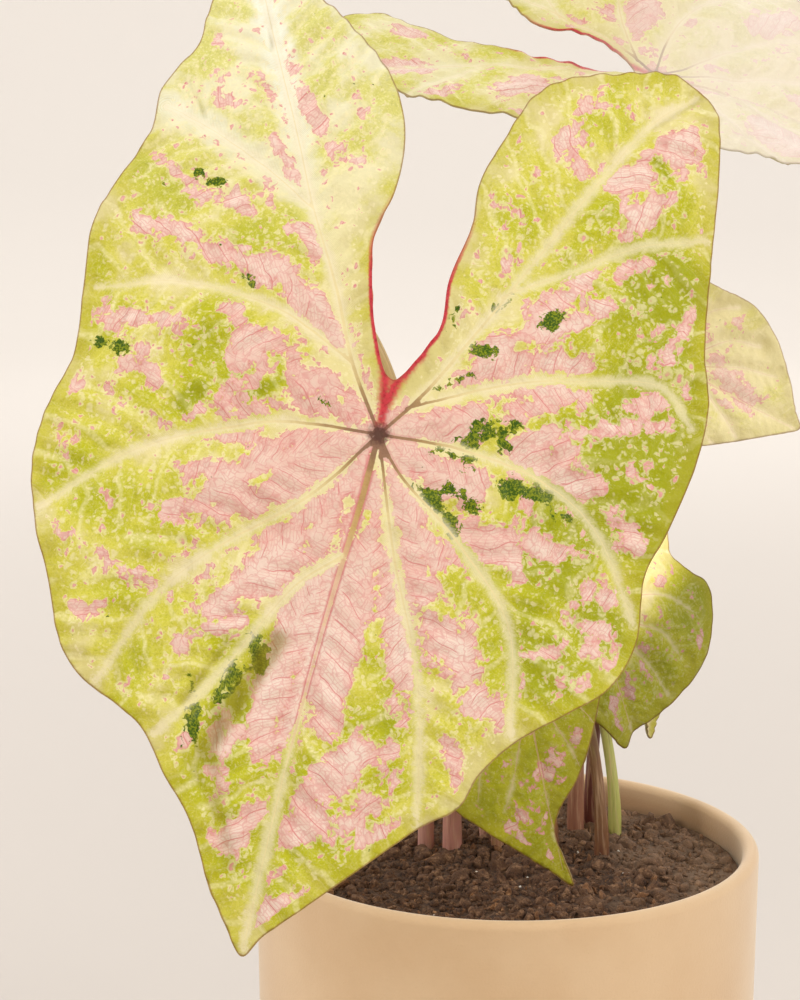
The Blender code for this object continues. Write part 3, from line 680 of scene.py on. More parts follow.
def place_piece(name, mesh, look, slot, *nodes):
    """A finished piece that stands for CAD nodes."""
    piece = bpy.data.objects.new(name, mesh)
    bpy.context.scene.collection.objects.link(piece)
    mesh.materials.clear()
    mesh.materials.append(look)
    mesh.shade_smooth()
    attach(piece, "root")
    if nodes:
        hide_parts(*nodes)


def build_blade(name, leaf, number, look):
    flat, faces, edge = fine_triangles(leaf)
    fields, relief, vein_gap = leaf_fields(name, leaf, number, flat, edge)
    local = bend(flat, vein_gap, relief, leaf)
    top = (np.array(leaf["at"]) + local @ np.array(leaf_axes(leaf))) * MM
    normals = face_normals(top, faces)
    if np.mean(normals @ leaf_axes(leaf)[2]) < 0:
        normals = -normals
    share = ease(fields["rim_gap"], 0.0, 2.5)[:, None]
    rib = np.clip(1.6 - fields["core"], 0, 1)[:, None] * RIB_HEIGHT * leaf_span(leaf).mean() ** 0.5
    bottom = top - normals * (RIM_THICKNESS + (BLADE_THICKNESS - RIM_THICKNESS) * share + rib)
    count = len(flat)
    walls = [(a, b, b + count, a + count) for a, b in open_edges(faces)]
    mesh = bpy.data.meshes.new(f"{name}_leaf")
    mesh.from_pydata(np.vstack([top, bottom]).tolist(), [],
                     [*faces, *[[v + count for v in reversed(face)] for face in faces], *walls])
    plane = mesh.uv_layers.new(name="leaf_plane")
    corners = np.zeros(len(mesh.loops), np.int32)
    mesh.loops.foreach_get("vertex_index", corners)
    spots = (np.vstack([flat, flat]) / PLANE_UNIT)[corners]
    plane.data.foreach_set("uv", spots.astype(np.float32).ravel())
    store(mesh, {key: np.concatenate([values, values]) for key, values in fields.items()})
    store(mesh, {"under": np.repeat([0.0, 1.0], count)})
    outward(mesh)
    place_piece(f"{name}_leaf_blade", mesh, look, "leaf", f"blade_{name}")


class LeafSkin(Look):
    """The blades' material, with the fields and patterns that its layers share."""

    def __init__(self):
        super().__init__("caladium_blade", 0.5)
        plane = self.node("ShaderNodeUVMap", {"uv_map": "leaf_plane"})
        sort = self.field("sort")
        self.spot = self.vector("ADD", self.vector("MULTIPLY", plane, (PLANE_UNIT, PLANE_UNIT, 0.0)),
                                self.point(0.0, 0.0, sort * LEAF_SHIFT))
        for name in ("knot", "core", "vein_gap", "rim_gap", "band_gap", "twig", "twig_share", "lobe"):
            setattr(self, name, self.field(name))
        self.plain = 1.0 - self.field("plain") * 0.7
        self.outer = self.knot.step(9.0, 34.0)
        self.far_out = self.knot.step(30.0, 60.0)
        self.grain = self.noise(self.spot, 0.8)
        self.speck = self.noise(self.spot, 0.45, 1.0)
        self.ragged = self.noise(self.spot, 8.0, 3.0, 0.55)
        self.sway = self.noise(self.spot, 9.0, 1.0)
        wander = self.vector("MULTIPLY", self.drift(self.spot, 0.4, 2.0), (3.0, 3.0, 0.0))
        self.bent = self.vector("ADD", self.spot, wander)
        self.cell = self.node("ShaderNodeTexVoronoi", None, {"Vector": self.bent, "Scale": 0.62}, 1) - 0.5
        along = self.point(self.twig * 3.4 + self.ragged, self.vein_gap / 5.0, sort * 5.0)
        self.streak = self.noise(along, 1.0, 3.0, 0.6)
        self.comb = self.stripe(self.twig * 8.0 + self.sway * 3.0 + self.grain * 0.35)

    def dots(self, place, size, share, reach):
        """Round dots, one to a cell of that size: how deep each spot lies in one, in millimetres."""
        gap = self.node("ShaderNodeTexVoronoi", None, {
            "Vector": place, "Scale": 1.0 / size, "Randomness": 0.9})
        chance = Term(self, gap.socket.node.outputs[1])
        return (chance - share) * reach - gap * size


def green_skin(leaf):
    """The green under the markings, from cream to deep green, and how calm it is."""
    mottle = leaf.noise(leaf.spot, 13.0, 4.0)
    near_vein = (leaf.band_gap + leaf.ragged * 4.0).step(6.5, 0.5)
    depth = (mottle * 8.0 + leaf.field("lime") * 0.16 + 1.0 + leaf.streak * leaf.twig_share * 1.6
             + leaf.cell * 0.4 - near_vein * 0.9 - leaf.lobe * (near_vein * 1.1 - 0.5)
             + leaf.field("ripe") + leaf.grain * 0.8)
    lime = depth.step(-0.9, 0.8)
    calm = 1.0 - depth.step(2.5, 6.0) * 0.7
    freckle = leaf.grain + leaf.speck * 0.8
    pale_dots = leaf.larger(leaf.dots(leaf.bent, 2.2, 0.8, 3.4),
                            leaf.dots(leaf.bent, 1.3, 0.78 - mottle * 0.5, 2.0))
    green = leaf.coats(
        (232, 220, 156),
        (lime, (214, 208, 78)),
        (depth.step(0.7, 2.6), (190, 190, 26)),
        (depth.step(2.4, 4.6), (164, 168, 2)),
        (freckle.step(0.05, 0.25) * (0.28 + leaf.lobe * 0.3) * calm, (243, 236, 168)),
        (freckle.step(-0.04, -0.26) * 0.32 * lime, (152, 156, 20)),
        # Paler upper lobes: partly the leaf's own paler colour, partly painted light, the glow on the
        # upper-left lobe.
        (leaf.lobe * (0.16 + near_vein * 0.5 + (1.0 - lime) * 0.3), (248, 252, 242)),
        (pale_dots.step(-0.12, 0.16) * 0.5 * leaf.plain * calm, (247, 238, 196)),
        ((leaf.rim_gap + mottle * 8.0).step(7.0, 2.0) * 0.35 * (1.0 - leaf.lobe), (178, 166, 50)))
    return green, calm


def vein_band(leaf):
    """The pale band along the main veins."""
    reach = 1.05 + 0.25 * leaf.outer * leaf.rim_gap.step(-1.0, 12.0)
    gap = leaf.band_gap + leaf.grain * 1.4 + leaf.ragged * 2.4 + leaf.cell + leaf.comb * 0.5
    return gap.step(reach * 1.9, reach * 0.4)


def pink_depth(leaf, band):
    """How deep each spot lies in a pink patch or fleck, in millimetres; negative outside."""
    grain, pink = leaf.grain, leaf.field("pink")
    broken = leaf.ragged * 10.0 + leaf.streak * leaf.twig_share * 3.6 + leaf.cell * 2.8 + grain * 0.8
    crowd = leaf.noise(leaf.spot, 16.0) * 1.6
    longer = leaf.vector("MULTIPLY", leaf.bent, (1.0, 0.7, 1.0))
    flecks = leaf.larger(leaf.dots(longer, 4.6, 0.78 - crowd * 0.16, 9.0),
                         leaf.dots(leaf.bent, 2.3, 0.74 - crowd * 0.12, 4.6),
                         leaf.dots(leaf.bent, 1.2, 0.72, 2.4))
    islands = leaf.noise(leaf.vector("MULTIPLY", leaf.bent, (1.0, 0.75, 1.0)), 7.0, 4.0, 0.62) * 22.0
    islands = islands - 2.85 + (pink + 6.0) * 0.3 - 2.2 * leaf.lobe
    flecks = leaf.larger(flecks + 0.1 * leaf.lobe, islands)
    depth = leaf.larger(pink + broken, flecks + grain * 0.5)
    off_knot = (leaf.knot + leaf.ragged * 20.0).step(5.0, 15.0)
    return depth - band * off_knot * 5.0 - leaf.rim_gap.step(3.4, 1.0) * 6.0


def pink_skin(leaf, depth):
    """The pink itself, deeper at its edges and near the knot."""
    return leaf.coats(
        (243, 222, 206),
        (leaf.noise(leaf.spot, 7.0, 3.0).step(-0.15, 0.2), (238, 208, 192)),
        ((leaf.speck + leaf.grain * 0.5).step(0.05, 0.3) * 0.5, (246, 232, 214)),
        (leaf.knot.step(62.0, 20.0) * 0.4, (226, 180, 160)),
        (depth.step(3.0, 0.5) * 0.4, (230, 170, 158)),
        (depth.step(0.75, 0.1) * 0.6, (220, 138, 136)),
        # Paler pink in the upper lobes: partly the leaf's own colour, partly painted light.
        (leaf.lobe * 0.3, (252, 226, 214)))


def dark_share(leaf):
    """Where the dark green spots are."""
    depth = (leaf.field("dark") - 0.25 + leaf.ragged * 10.0 + leaf.streak * leaf.twig_share * 3.0
             + leaf.cell * 2.6 + leaf.grain * 1.8 + leaf.speck * 1.4)
    stray = leaf.noise(leaf.spot, 2.0, 4.0) * 20.0 - 5.4 + leaf.cell * 1.2
    return leaf.larger(depth, stray).step(-0.15, 0.2)


def side_vein(leaf):
    """The small veins that leave a main vein sideways."""
    line = leaf.stripe(leaf.twig * 0.62 + leaf.sway * 0.8 + 0.3).step(0.39, 0.47)
    return line * leaf.vein_gap.step(0.3, 1.0) * leaf.twig_share.step(0.0, 0.2)


def fine_lines(leaf, colour, pink, dark, small_vein, calm):
    """Rosy lines and net in the pink, and pale ones in the green."""
    comb_line = leaf.comb.step(0.27, 0.5) * leaf.twig_share.step(0.02, 0.25)
    twig_line = leaf.stripe(leaf.twig * 1.4 + leaf.sway * 1.2 + leaf.grain * 0.06).step(0.455, 0.485)
    twig_line = twig_line * leaf.vein_gap.step(0.3, 1.0) * leaf.twig_share.step(0.1, 0.45)
    net = leaf.node("ShaderNodeTexVoronoi", {"feature": "DISTANCE_TO_EDGE"},
                    {"Vector": leaf.bent, "Scale": 0.46}).step(0.085, 0.01) * 0.6
    rosy = leaf.larger(comb_line * (0.5 + leaf.streak), twig_line * 1.15, net)
    pale = leaf.larger(leaf.larger(twig_line, net) * 0.14, small_vein * (0.5 + leaf.grain) * 0.75)
    pale = pale * (1.0 - pink) * (1.0 - dark) * leaf.outer * leaf.plain * calm
    return leaf.coats(colour, (rosy * pink * 0.78, (218, 138, 134)), (pale, (247, 238, 184)))


def main_veins(leaf, colour, band, pink):
    """Pale bands with short hatching, and the ribs in them, brown near the knot."""
    hatch = leaf.stripe(leaf.twig * 15.0 + leaf.sway * 3.0 + leaf.grain * 0.3).step(0.2, 0.5)
    hatch = hatch * leaf.vein_gap.step(0.4, 1.0) * leaf.vein_gap.step(5.0, 2.5)
    bare = (leaf.band_gap - leaf.vein_gap).step(0.2, 0.9)
    bare_tone = leaf.coats((200, 166, 94),
                           ((leaf.knot + leaf.ragged * 14.0).step(16.0, 46.0), (228, 190, 156)))
    rib_tone = leaf.coats(
        (190, 154, 92), ((leaf.knot + leaf.ragged * 10.0).step(8.0, 26.0), (236, 220, 164)),
        (bare, bare_tone), ((leaf.knot + leaf.ragged * 24.0).step(20.0, 3.0), (134, 94, 66)))
    rib = leaf.core + leaf.grain * 0.3 + leaf.far_out * 0.3 + (1.0 - bare) * 0.22
    flank = leaf.core.step(0.7, 0.95) * leaf.core.step(2.1, 1.1) * (1.0 - leaf.far_out * (1.0 - bare))
    return leaf.coats(
        colour,
        (band * (0.34 + 0.24 * leaf.outer), (246, 234, 202)),
        (hatch * (1.0 - pink) * leaf.outer * 0.3, (206, 196, 104)),
        (flank * (0.35 + 0.35 * bare) * pink, (208, 112, 114)),
        (rib.step(1.12, 0.8) * (0.9 - 0.35 * leaf.far_out), rib_tone))


def margins(leaf, colour):
    """The red notch and suture, the brown rim, the dark knot, painted shade in the creases and the
    washed-out part.
    """
    grain = leaf.grain
    red = leaf.coats((206, 62, 70), (grain.step(-0.1, 0.2), (176, 36, 52)))
    suture = (leaf.field("suture") + grain * 1.4 + leaf.ragged * 2.0).step(2.4, 0.3)
    return leaf.coats(
        colour,
        (suture * leaf.knot.step(0.5, 3.5), red),
        ((leaf.rim_gap + grain * 0.25).step(0.5, 0.2) * 0.7, (150, 104, 62)),
        ((leaf.rim_gap + grain * 0.6).step(1.2, 0.6) * leaf.field("notch"), red),
        ((leaf.knot + grain * 3.0).step(3.8, 1.2) * 0.9, (84, 52, 44)),
        # Painted shade in the creases: darker olive where they are deep.
        (leaf.field("fold").step(0.2, 1.8) * 0.6, (142, 128, 20)),
        (leaf.field("wan"), (252, 243, 234)))


def leaf_look():
    """Yellow-green blade with pink patches and flecks, pale vein bands and a red notch."""
    leaf = LeafSkin()
    green, calm = green_skin(leaf)
    band = vein_band(leaf)
    depth = pink_depth(leaf, band)
    pink = depth.step(-0.12, 0.14)
    rind = depth.step(-0.8, -0.28) * (1.0 - pink)
    dark = dark_share(leaf)
    dark_tone = leaf.coats((58, 90, 2), ((leaf.grain + leaf.speck).step(-0.1, 0.2), (134, 146, 20)))
    colour = leaf.coats(green, (rind * 0.5 * leaf.plain, (248, 238, 190)), (pink, pink_skin(leaf, depth)),
                        (dark * leaf.rim_gap.step(0.8, 2.0), dark_tone))
    pink = pink * (1.0 - dark)
    small_vein = side_vein(leaf)
    colour = fine_lines(leaf, colour, pink, dark, small_vein, calm)
    colour = main_veins(leaf, colour, band, pink)
    colour = margins(leaf, colour)
    under = leaf.field("under")
    under_rib = leaf.coats((164, 104, 92), (leaf.outer, (216, 196, 148)))
    pale = leaf.coats(colour, (0.55, (206, 208, 160)), (small_vein * 0.5, (222, 216, 172)),
                      (leaf.core.step(1.9, 1.0) * 0.85, under_rib))
    # Each leaf's painted light and shade scale its whole colour.
    colour = leaf.scaled(leaf.coats(colour, (under, pale)), leaf.field("painted_light") * BLADE_SHADE)
    leaf.wear({"Base Color": colour, "Roughness": 0.5 + leaf.grain * 0.25 + under * 0.2,
               "Specular IOR Level": 0.2})
    leaf.bump(leaf.noise(leaf.spot, 1.8, 3.0, 0.6), 0.0004)
    return leaf.material


def bezier(p0, p1, p2, p3, steps):
    t = np.linspace(0, 1, steps)[:, None]
    return (1 - t) ** 3 * p0 + 3 * (1 - t) ** 2 * t * p1 + 3 * (1 - t) * t ** 2 * p2 + t ** 3 * p3


def rise_along(path):
    """How far up the path each of its points is, in millimetres."""
    return np.concatenate([[0], np.cumsum(np.linalg.norm(np.diff(path, axis=0), axis=1))]) / MM


def stem_start(foot):
    """A stem's points in the soil, up from its tuber's crown, and its collar above the soil."""
    foot = np.array([*foot, 0.0]) * MM
    collar = foot + (0, 0, SOIL_TOP + STALK_COLLAR)
    return np.linspace(foot + (0, 0, TUBER_TOP + GAP), collar, 10, endpoint=False), collar


def stalk_line(leaf):
    """A stalk's centre line and radii, from its tuber's crown to the blade's underside."""
    low, collar = stem_start(leaf["foot"])
    out = leaf_axes(leaf)[2]
    seat = np.array(leaf["at"]) * MM - out * (BLADE_THICKNESS + GAP)
    neck = seat - out * STALK_NECK
    leave, arrive = np.array(leaf["reach"]) * MM
    bow = bezier(collar, collar + (0, 0, leave), neck - out * arrive, neck, 121)
    path = np.vstack([low, bow, np.linspace(neck, seat, 9)[1:]])
    base, end = np.array(leaf["stalk"]) * MM
    share = np.linspace(1, 11, 121) / 12
    radii = np.concatenate([np.full(10, base), base + (end - base) * share,
                            np.linspace(base + (end - base) * 11 / 12, end, 9)[1:]])
    rise = rise_along(path)
    knee = 0.00035 * np.exp(-((rise - 30) / 9) ** 2)
    flare = 0.0004 * np.exp(-(rise[-1] - rise) / 2)
    return path, radii + knee + flare, rise


def spear_line():
    """The rolled young leaf's centre line and radii."""
    low, collar = stem_start(SPEAR_FOOT)
    tip = np.array(SPEAR_TIP) * MM
    path = np.vstack([low, bezier(collar, collar + (0, 0, 0.03), tip - (0, 0, 0.02), tip, 131)])
    placed = np.concatenate([np.linspace(0, 1 / 14, 10, endpoint=False), np.linspace(1 / 14, 1, 131)])
    return path, smooth_profile(placed, *zip(*SPEAR_RADII)) * MM, rise_along(path)


def smooth_profile(places, shares, widths):
    """Widths along a piece, eased from one given width to the next."""
    found = np.interp(places, shares, widths)
    for low, high, first, last in zip(shares, shares[1:], widths, widths[1:]):
        span = (places >= low) & (places <= high)
        found[span] = first + (last - first) * ease(places[span], low, high)
    return found


def geometry_tree(name, fields):
    """An empty geometry node tree with a Geometry input and these named inputs."""
    tree = bpy.data.node_groups.new(name, "GeometryNodeTree")
    for field, kind in {"Geometry": "Geometry", **fields}.items():
        tree.interface.new_socket(field, in_out="INPUT", socket_type=f"NodeSocket{kind}")
    tree.interface.new_socket("Geometry", in_out="OUTPUT", socket_type="NodeSocketGeometry")
    graph = Graph(tree)
    entry = tree.nodes.new("NodeGroupInput")
    return graph, {socket.name: Term(graph, socket) for socket in entry.outputs if socket.name}


def end_tree(graph, shape, look):
    """Realizes what was placed, gives it its material and ends the tree."""
    shape = graph.node("GeometryNodeRealizeInstances", None, {0: shape})
    shape = graph.node("GeometryNodeSetMaterial", None, {"Geometry": shape, "Material": look})
    last = graph.tree.nodes.new("NodeGroupOutput")
    graph.tree.links.new(shape.socket, last.inputs[0])
    return graph.tree


def stem_tree():
    """A round stem along a line, with a lapped edge that winds up it."""
    graph, given = geometry_tree("stem_along_line", {
        "Sides": "Int", "Lap": "Float", "Twist": "Float", "Surface": "Material"})
    line = graph.node("GeometryNodeMeshToCurve", None, {"Mesh": given["Geometry"]})
    ring = graph.node("GeometryNodeCurvePrimitiveCircle", {"mode": "RADIUS"}, {
        "Resolution": given["Sides"], "Radius": 1.0})
    ring = graph.keep(ring, "turn", graph.node("GeometryNodeInputIndex") / given["Sides"])
    stem = graph.node("GeometryNodeCurveToMesh", None, {
        "Curve": line, "Profile Curve": ring, "Scale": graph.named("thick"), "Fill Caps": True})
    turn = graph.named("turn")
    wound = graph.math("FRACT", turn + graph.named("rise") * given["Twist"])
    shift = graph.scaled(graph.node("GeometryNodeInputNormal"), wound * given["Lap"])
    stem = graph.node("GeometryNodeSetPosition", None, {"Geometry": stem, "Offset": shift})
    angle = turn * 2 * math.pi
    stem = graph.keep(stem, "skin_x", graph.math("COSINE", angle))
    stem = graph.keep(stem, "skin_y", graph.math("SINE", angle))
    stem = graph.keep(stem, "wound", wound)
    return end_tree(graph, stem, given["Surface"])


def crumb_tree():
    """Lumpy bits scattered over a surface."""
    graph, given = geometry_tree("bits_on_soil", {
        "Crowd": "Float", "Size": "Float", "Stretch": "Vector", "Reach": "Float", "Seed": "Int",
        "Faces": "Int", "Surface": "Material"})
    place = graph.vector("MULTIPLY", graph.node("GeometryNodeInputPosition"), (1.0, 1.0, 0.0))
    near = graph.node("FunctionNodeCompare", {"data_type": "FLOAT", "operation": "LESS_THAN"}, {
        0: graph.vector("LENGTH", place, out=1), 1: given["Reach"]})
    spots = graph.node("GeometryNodeDistributePointsOnFaces", None, {
        "Mesh": given["Geometry"], "Selection": near, "Density": given["Crowd"], "Seed": given["Seed"]})
    chance = graph.node("FunctionNodeRandomValue", {"data_type": "FLOAT"}, {
        2: 0.0, 3: 1.0, "Seed": given["Seed"] + 3}, out=1)
    turn = graph.node("FunctionNodeRandomValue", {"data_type": "FLOAT_VECTOR"}, {
        0: (0.0, 0.0, 0.0), 1: (6.28, 6.28, 6.28), "Seed": given["Seed"] + 5})
    scale = graph.scaled(given["Stretch"], given["Size"] * (0.3 + 0.7 * chance ** 3.0))
    lump = graph.node("GeometryNodeMeshIcoSphere", None, {"Radius": 1.0, "Subdivisions": given["Faces"]})
    bits = graph.node("GeometryNodeInstanceOnPoints", None, {
        "Points": spots, "Instance": lump, "Rotation": turn, "Scale": scale})
    bits = graph.node("GeometryNodeRealizeInstances", None, {0: bits})
    lumps = graph.drift(graph.node("GeometryNodeInputPosition"), 0.9 / given["Size"], 1.0)
    bits = graph.node("GeometryNodeSetPosition", None, {
        "Geometry": bits, "Offset": graph.scaled(lumps, given["Size"] * 1.1)})
    return end_tree(graph, bits, given["Surface"])


def grown(name, tree, source, values):
    """The tree's result on the source mesh, as a plain mesh."""
    carrier = bpy.data.objects.new(name, source)
    bpy.context.scene.collection.objects.link(carrier)
    grow = carrier.modifiers.new("Grow", "NODES")
    grow.node_group = tree
    for socket in tree.interface.items_tree:
        if socket.in_out == "INPUT" and socket.name in values:
            grow[socket.identifier] = values[socket.name]
    scene_state = bpy.context.evaluated_depsgraph_get()
    mesh = bpy.data.meshes.new_from_object(
        carrier.evaluated_get(scene_state), preserve_all_data_layers=True, depsgraph=scene_state)
    mesh.name = name
    carrier.modifiers.remove(grow)
    bpy.data.objects.remove(carrier)
    return mesh


def stem_look(name, foot_tone, middle_tone, top_tone, height):
    """Smooth stalk skin with lengthwise streaks, darker and redder at the foot."""
    look = Look(name, 0.42)
    x, y, rise = (look.field(n) for n in ("skin_x", "skin_y", "rise"))
    streak = look.noise(look.point(x * 1.6, y * 1.6, rise * 0.05), 0.6, 3.0)
    blotch = look.noise(look.point(x, y, rise * 0.16), 0.9, 3.0)
    share = rise / height + blotch * 0.35
    colour = look.coats(
        foot_tone,
        (share.step(0.10, 0.42), middle_tone),
        (share.step(0.45, 0.95), top_tone),
        (streak.step(0.0, 0.22) * 0.4, (228, 196, 160)),
        (streak.step(-0.05, -0.25) * 0.35, (104, 54, 44)),
        (look.field("wound").step(0.94, 0.99) * 0.5, (140, 84, 62)))
    look.wear({"Base Color": colour, "Roughness": 0.42 + blotch * 0.3, "Subsurface Weight": 0.1,
               "Subsurface Radius": (1.0, 0.6, 0.3), "Subsurface Scale": 0.001})
    look.bump(streak, 0.0003)
    return look.material


def build_stem(tree, piece, skin, node, line, values):
    """One stalk or rolled leaf along its line."""
    path, radii, rise = line
    look = stem_look(skin, *STALK_TONES[node], float(rise[-1]))
    source = bpy.data.meshes.new(f"{piece}_line")
    source.from_pydata(path.tolist(), [(i, i + 1) for i in range(len(path) - 1)], [])
    store(source, {"thick": radii, "rise": rise})
    mesh = grown(piece, tree, source, {**values, "Surface": look})
    outward(mesh)
    place_piece(piece, mesh, look, "stalk", node)


def build_stems():
    tree = stem_tree()
    for name, leaf in LEAVES.items():
        build_stem(tree, f"{name}_leaf_stalk", f"{name}_stalk_skin", f"stalk_{name}", stalk_line(leaf),
                   {"Sides": 40, "Lap": 0.00006, "Twist": 0.0006})
    build_stem(tree, "rolled_young_leaf", "young_leaf_skin", "young_leaf", spear_line(),
               {"Sides": 64, "Lap": 0.00035, "Twist": 0.006})


def level_ring(radius, height, sides):
    """Points on a level circle about +Z."""
    turns = np.arange(sides) * 2 * math.pi / sides
    return [(radius * math.cos(t), radius * math.sin(t), height) for t in turns]


def ring_mesh(name, profile, sides):
    """A profile of (radius, height) pairs, from its middle to its middle, turned about +Z."""
    points, faces, rows = [], [], []
    for radius, height in profile:
        made = level_ring(radius, height, sides) if radius > 1e-9 else [(0.0, 0.0, height)]
        rows.append(range(len(points), len(points) + len(made)))
        points += made
    for first, second in zip(rows, rows[1:]):
        for i in range(sides):
            j = (i + 1) % sides
            corners = [first[i % len(first)], first[j % len(first)], second[j % len(second)],
                       second[i % len(second)]]
            faces.append(list(dict.fromkeys(corners)))
    mesh = bpy.data.meshes.new(name)
    mesh.from_pydata(points, [], faces)
    return mesh


def round_corner(centre, radius, start, end, steps):
    angles = np.radians(np.linspace(start, end, steps))
    return [(centre[0] + radius * math.cos(a), centre[1] + radius * math.sin(a)) for a in angles]


def pot_inner_radius(height):
    outer = POT_FOOT_RADIUS + (POT_RADIUS - POT_FOOT_RADIUS) * height / POT_HEIGHT
    return outer - POT_WALL


def straight(first, last, steps):
    return [tuple(p) for p in np.linspace(first, last, steps + 1)[1:-1]]


def ceramic_look():
    """Matte cream-tan ceramic, with painted shade on the inner wall and a darker band just above the soil.
    """
    look = Look("matte_ceramic", 0.72)
    spot = look.millimetres()
    cloud = look.noise(spot, 34.0, 4.0)
    grain = look.noise(spot, 0.7)
    speck = look.node("ShaderNodeTexVoronoi", None, {"Vector": spot, "Scale": 0.55})
    height = look.node("ShaderNodeSeparateXYZ", None, {0: spot}, out=2)
    radius = look.vector("LENGTH", look.vector("MULTIPLY", spot, (1.0, 1.0, 0.0)), out=1)
    shaded_inner_wall = radius.step(71.5, 70.0) * height.step(135.0, 128.0)
    colour = look.coats(
        (216, 186, 148),
        (cloud.step(-0.2, 0.2), (209, 176, 136)),
        (speck.step(0.16, 0.08) * 0.08, (176, 136, 98)),
        # Painted shade on the inner wall, and a darker band just above the soil.
        (shaded_inner_wall * 0.85, (168, 130, 90)),
        (shaded_inner_wall * (height + cloud * 6.0).step(129.0, 125.5) * 0.5, (120, 86, 58)))
    look.wear({"Base Color": colour, "Roughness": 0.72 + grain * 0.3, "Sheen Weight": 0.8,
               "Sheen Roughness": 0.45, "Sheen Tint": tone(255, 246, 232)})
    rings = look.noise(look.point(0.0, 0.0, height), 1.6, 3.0)
    look.bump(grain * 0.7 + rings * 0.5, 0.00012)
    return look.material


def build_pot():
    lip = POT_WALL / 2
    rim = round_corner((POT_RADIUS - lip, POT_HEIGHT - lip), lip, 180, 0, 21)
    foot = round_corner((POT_FOOT_RADIUS - 0.003, 0.003), 0.003, 0, -90, 8)
    corner = round_corner((pot_inner_radius(POT_FLOOR) - 0.004, POT_FLOOR + 0.004), 0.004, -90, 0, 8)
    profile = [(0, POT_FLOOR), (0.03, POT_FLOOR), *corner, *straight(corner[-1], rim[0], 24), *rim,
               *straight(rim[-1], foot[0], 30), *foot, (0.03, 0), (0, 0)]
    mesh = ring_mesh("plant_pot", profile, 192)
    outward(mesh)
    place_piece("plant_pot", mesh, ceramic_look(), "pot", "pot")


def soil_height(x, y):
    """The crumbly surface, with finer lumps, level at the pot's wall."""
    lumps = noise.noise(Vector((x * 70, y * 70, 0.3))) + 0.6 * noise.noise(Vector((x * 160, y * 160, 4.1)))
    fine = noise.fractal(Vector((x * 420, y * 420, 2.2)), 0.9, 2.1, 3)
    calm = max(0.0, min(1.0, (0.071 - math.hypot(x, y)) / 0.012))
    near = min(math.hypot(x - foot[0] * MM, y - foot[1] * MM)
               for foot in (SPEAR_FOOT, *(leaf["foot"] for leaf in LEAVES.values())))
    mound = 0.0013 * math.exp(-(near / 0.0055) ** 2)
    return SOIL_TOP + mound + SOIL_LUMP * lumps * calm + 0.0007 * fine * (0.35 + 0.65 * calm)


def tuber_hollow(crown, steps=16):
    """The hollow round a tuber: its own shape, a little wider all round."""
    grow = 0.0004
    middle = TUBER_TOP - TUBER_DEPTH / 2
    half = TUBER_TOP + grow - middle
    side = [(crown + grow + TUBER_BULGE * math.cos(turn), middle + half * math.sin(turn))
            for turn in np.radians(np.linspace(90, -60, steps))]
    base = TUBER_TOP - TUBER_DEPTH - grow
    return [(0, TUBER_TOP + grow), *side, (crown * 0.7, base), (0, base)]


def soil_meshes():
    """The soil with its hollows, and its upper surface alone."""
    outer = pot_inner_radius(SOIL_TOP) - 2 * GAP
    low = POT_FLOOR + GAP
    rows, sides = SOIL_ROWS, SOIL_SIDES
    points = [(0.0, 0.0, soil_height(0, 0))]
    for row in range(1, rows + 1):
        points += [(x, y, soil_height(x, y)) for x, y, _ in level_ring(outer * row / rows, 0, sides)]
    points += level_ring(pot_inner_radius(low + 0.005) - 2 * GAP, low + 0.005, sides)
    points += level_ring(pot_inner_radius(POT_FLOOR) - 0.0045, low, sides)
    faces = []
    for side in range(sides):
        after = (side + 1) % sides
        faces.append((0, 1 + side, 1 + after))
        for row in range(rows + 1):
            a, b = 1 + row * sides, 1 + (row + 1) * sides
            faces.append((a + side, b + side, b + after, a + after))
    faces.append([1 + (rows + 1) * sides + side for side in reversed(range(sides))])
    surface = bpy.data.meshes.new("soil_surface")
    surface.from_pydata(points[:1 + rows * sides], [], [f for f in faces if max(f) <= rows * sides])
    for name, (x, y) in TUBER_CENTRES.items():
        hollow = ring_mesh("hollow", tuber_hollow(TUBER_CROWNS[name]), 48)
        outward(hollow)
        start = len(points)
        points += [(v.co.x + x, v.co.y + y, v.co.z) for v in hollow.vertices]
        faces += [[start + v for v in reversed(face.vertices)] for face in hollow.polygons]
        bpy.data.meshes.remove(hollow)
    mesh = bpy.data.meshes.new("potting_soil")
    mesh.from_pydata(points, [], faces)
    return mesh, surface


def build_soil():
    mesh, surface = soil_meshes()
    place_piece("potting_soil", mesh, soil_look("dark_potting_soil"), "soil", "soil")
    looks = {name: soil_look(name) for name in ("soil_crumbs", "bark_bits", "white_grit")}
    tree = crumb_tree()
    for name, (skin, crowd, size, stretch, seed, splits) in SOIL_BITS.items():
        made = grown(name, tree, surface, {
            "Crowd": float(crowd), "Size": size, "Stretch": stretch, "Reach": SOIL_BITS_REACH,
            "Seed": seed, "Faces": splits, "Surface": looks[skin]})
        place_piece(name, made, looks[skin], "soil")


def soil_look(name):
    """A crumbly bit's surface with paler patches, and painted light that makes it paler towards the right.
    """
    middle, light, dark = SOIL_TONES[name]
    look = Look(name, 0.93)
    spot = look.millimetres()
    lump = look.noise(spot, 2.6, 4.0, 0.65)
    grain = look.noise(spot, 0.5)
    pale_patches_and_painted_light = look.noise(spot, 30.0) + look.vector("DOT_PRODUCT", spot, (0.007, 0.002, 0.0), out=1)
    colour = look.coats(
        middle,
        ((lump + grain * 0.4).step(0.0, 0.2), light),
        ((grain * 0.4 - lump).step(0.02, 0.2), dark),
        # Paler patches, and painted light: paler towards the right.
        (pale_patches_and_painted_light.step(0.06, 0.5) * 0.5, (148, 122, 98)))
    look.wear({"Base Color": colour, "Roughness": 0.93 + grain * 0.12})
    look.bump(grain + lump, 0.0004)
    return look.material


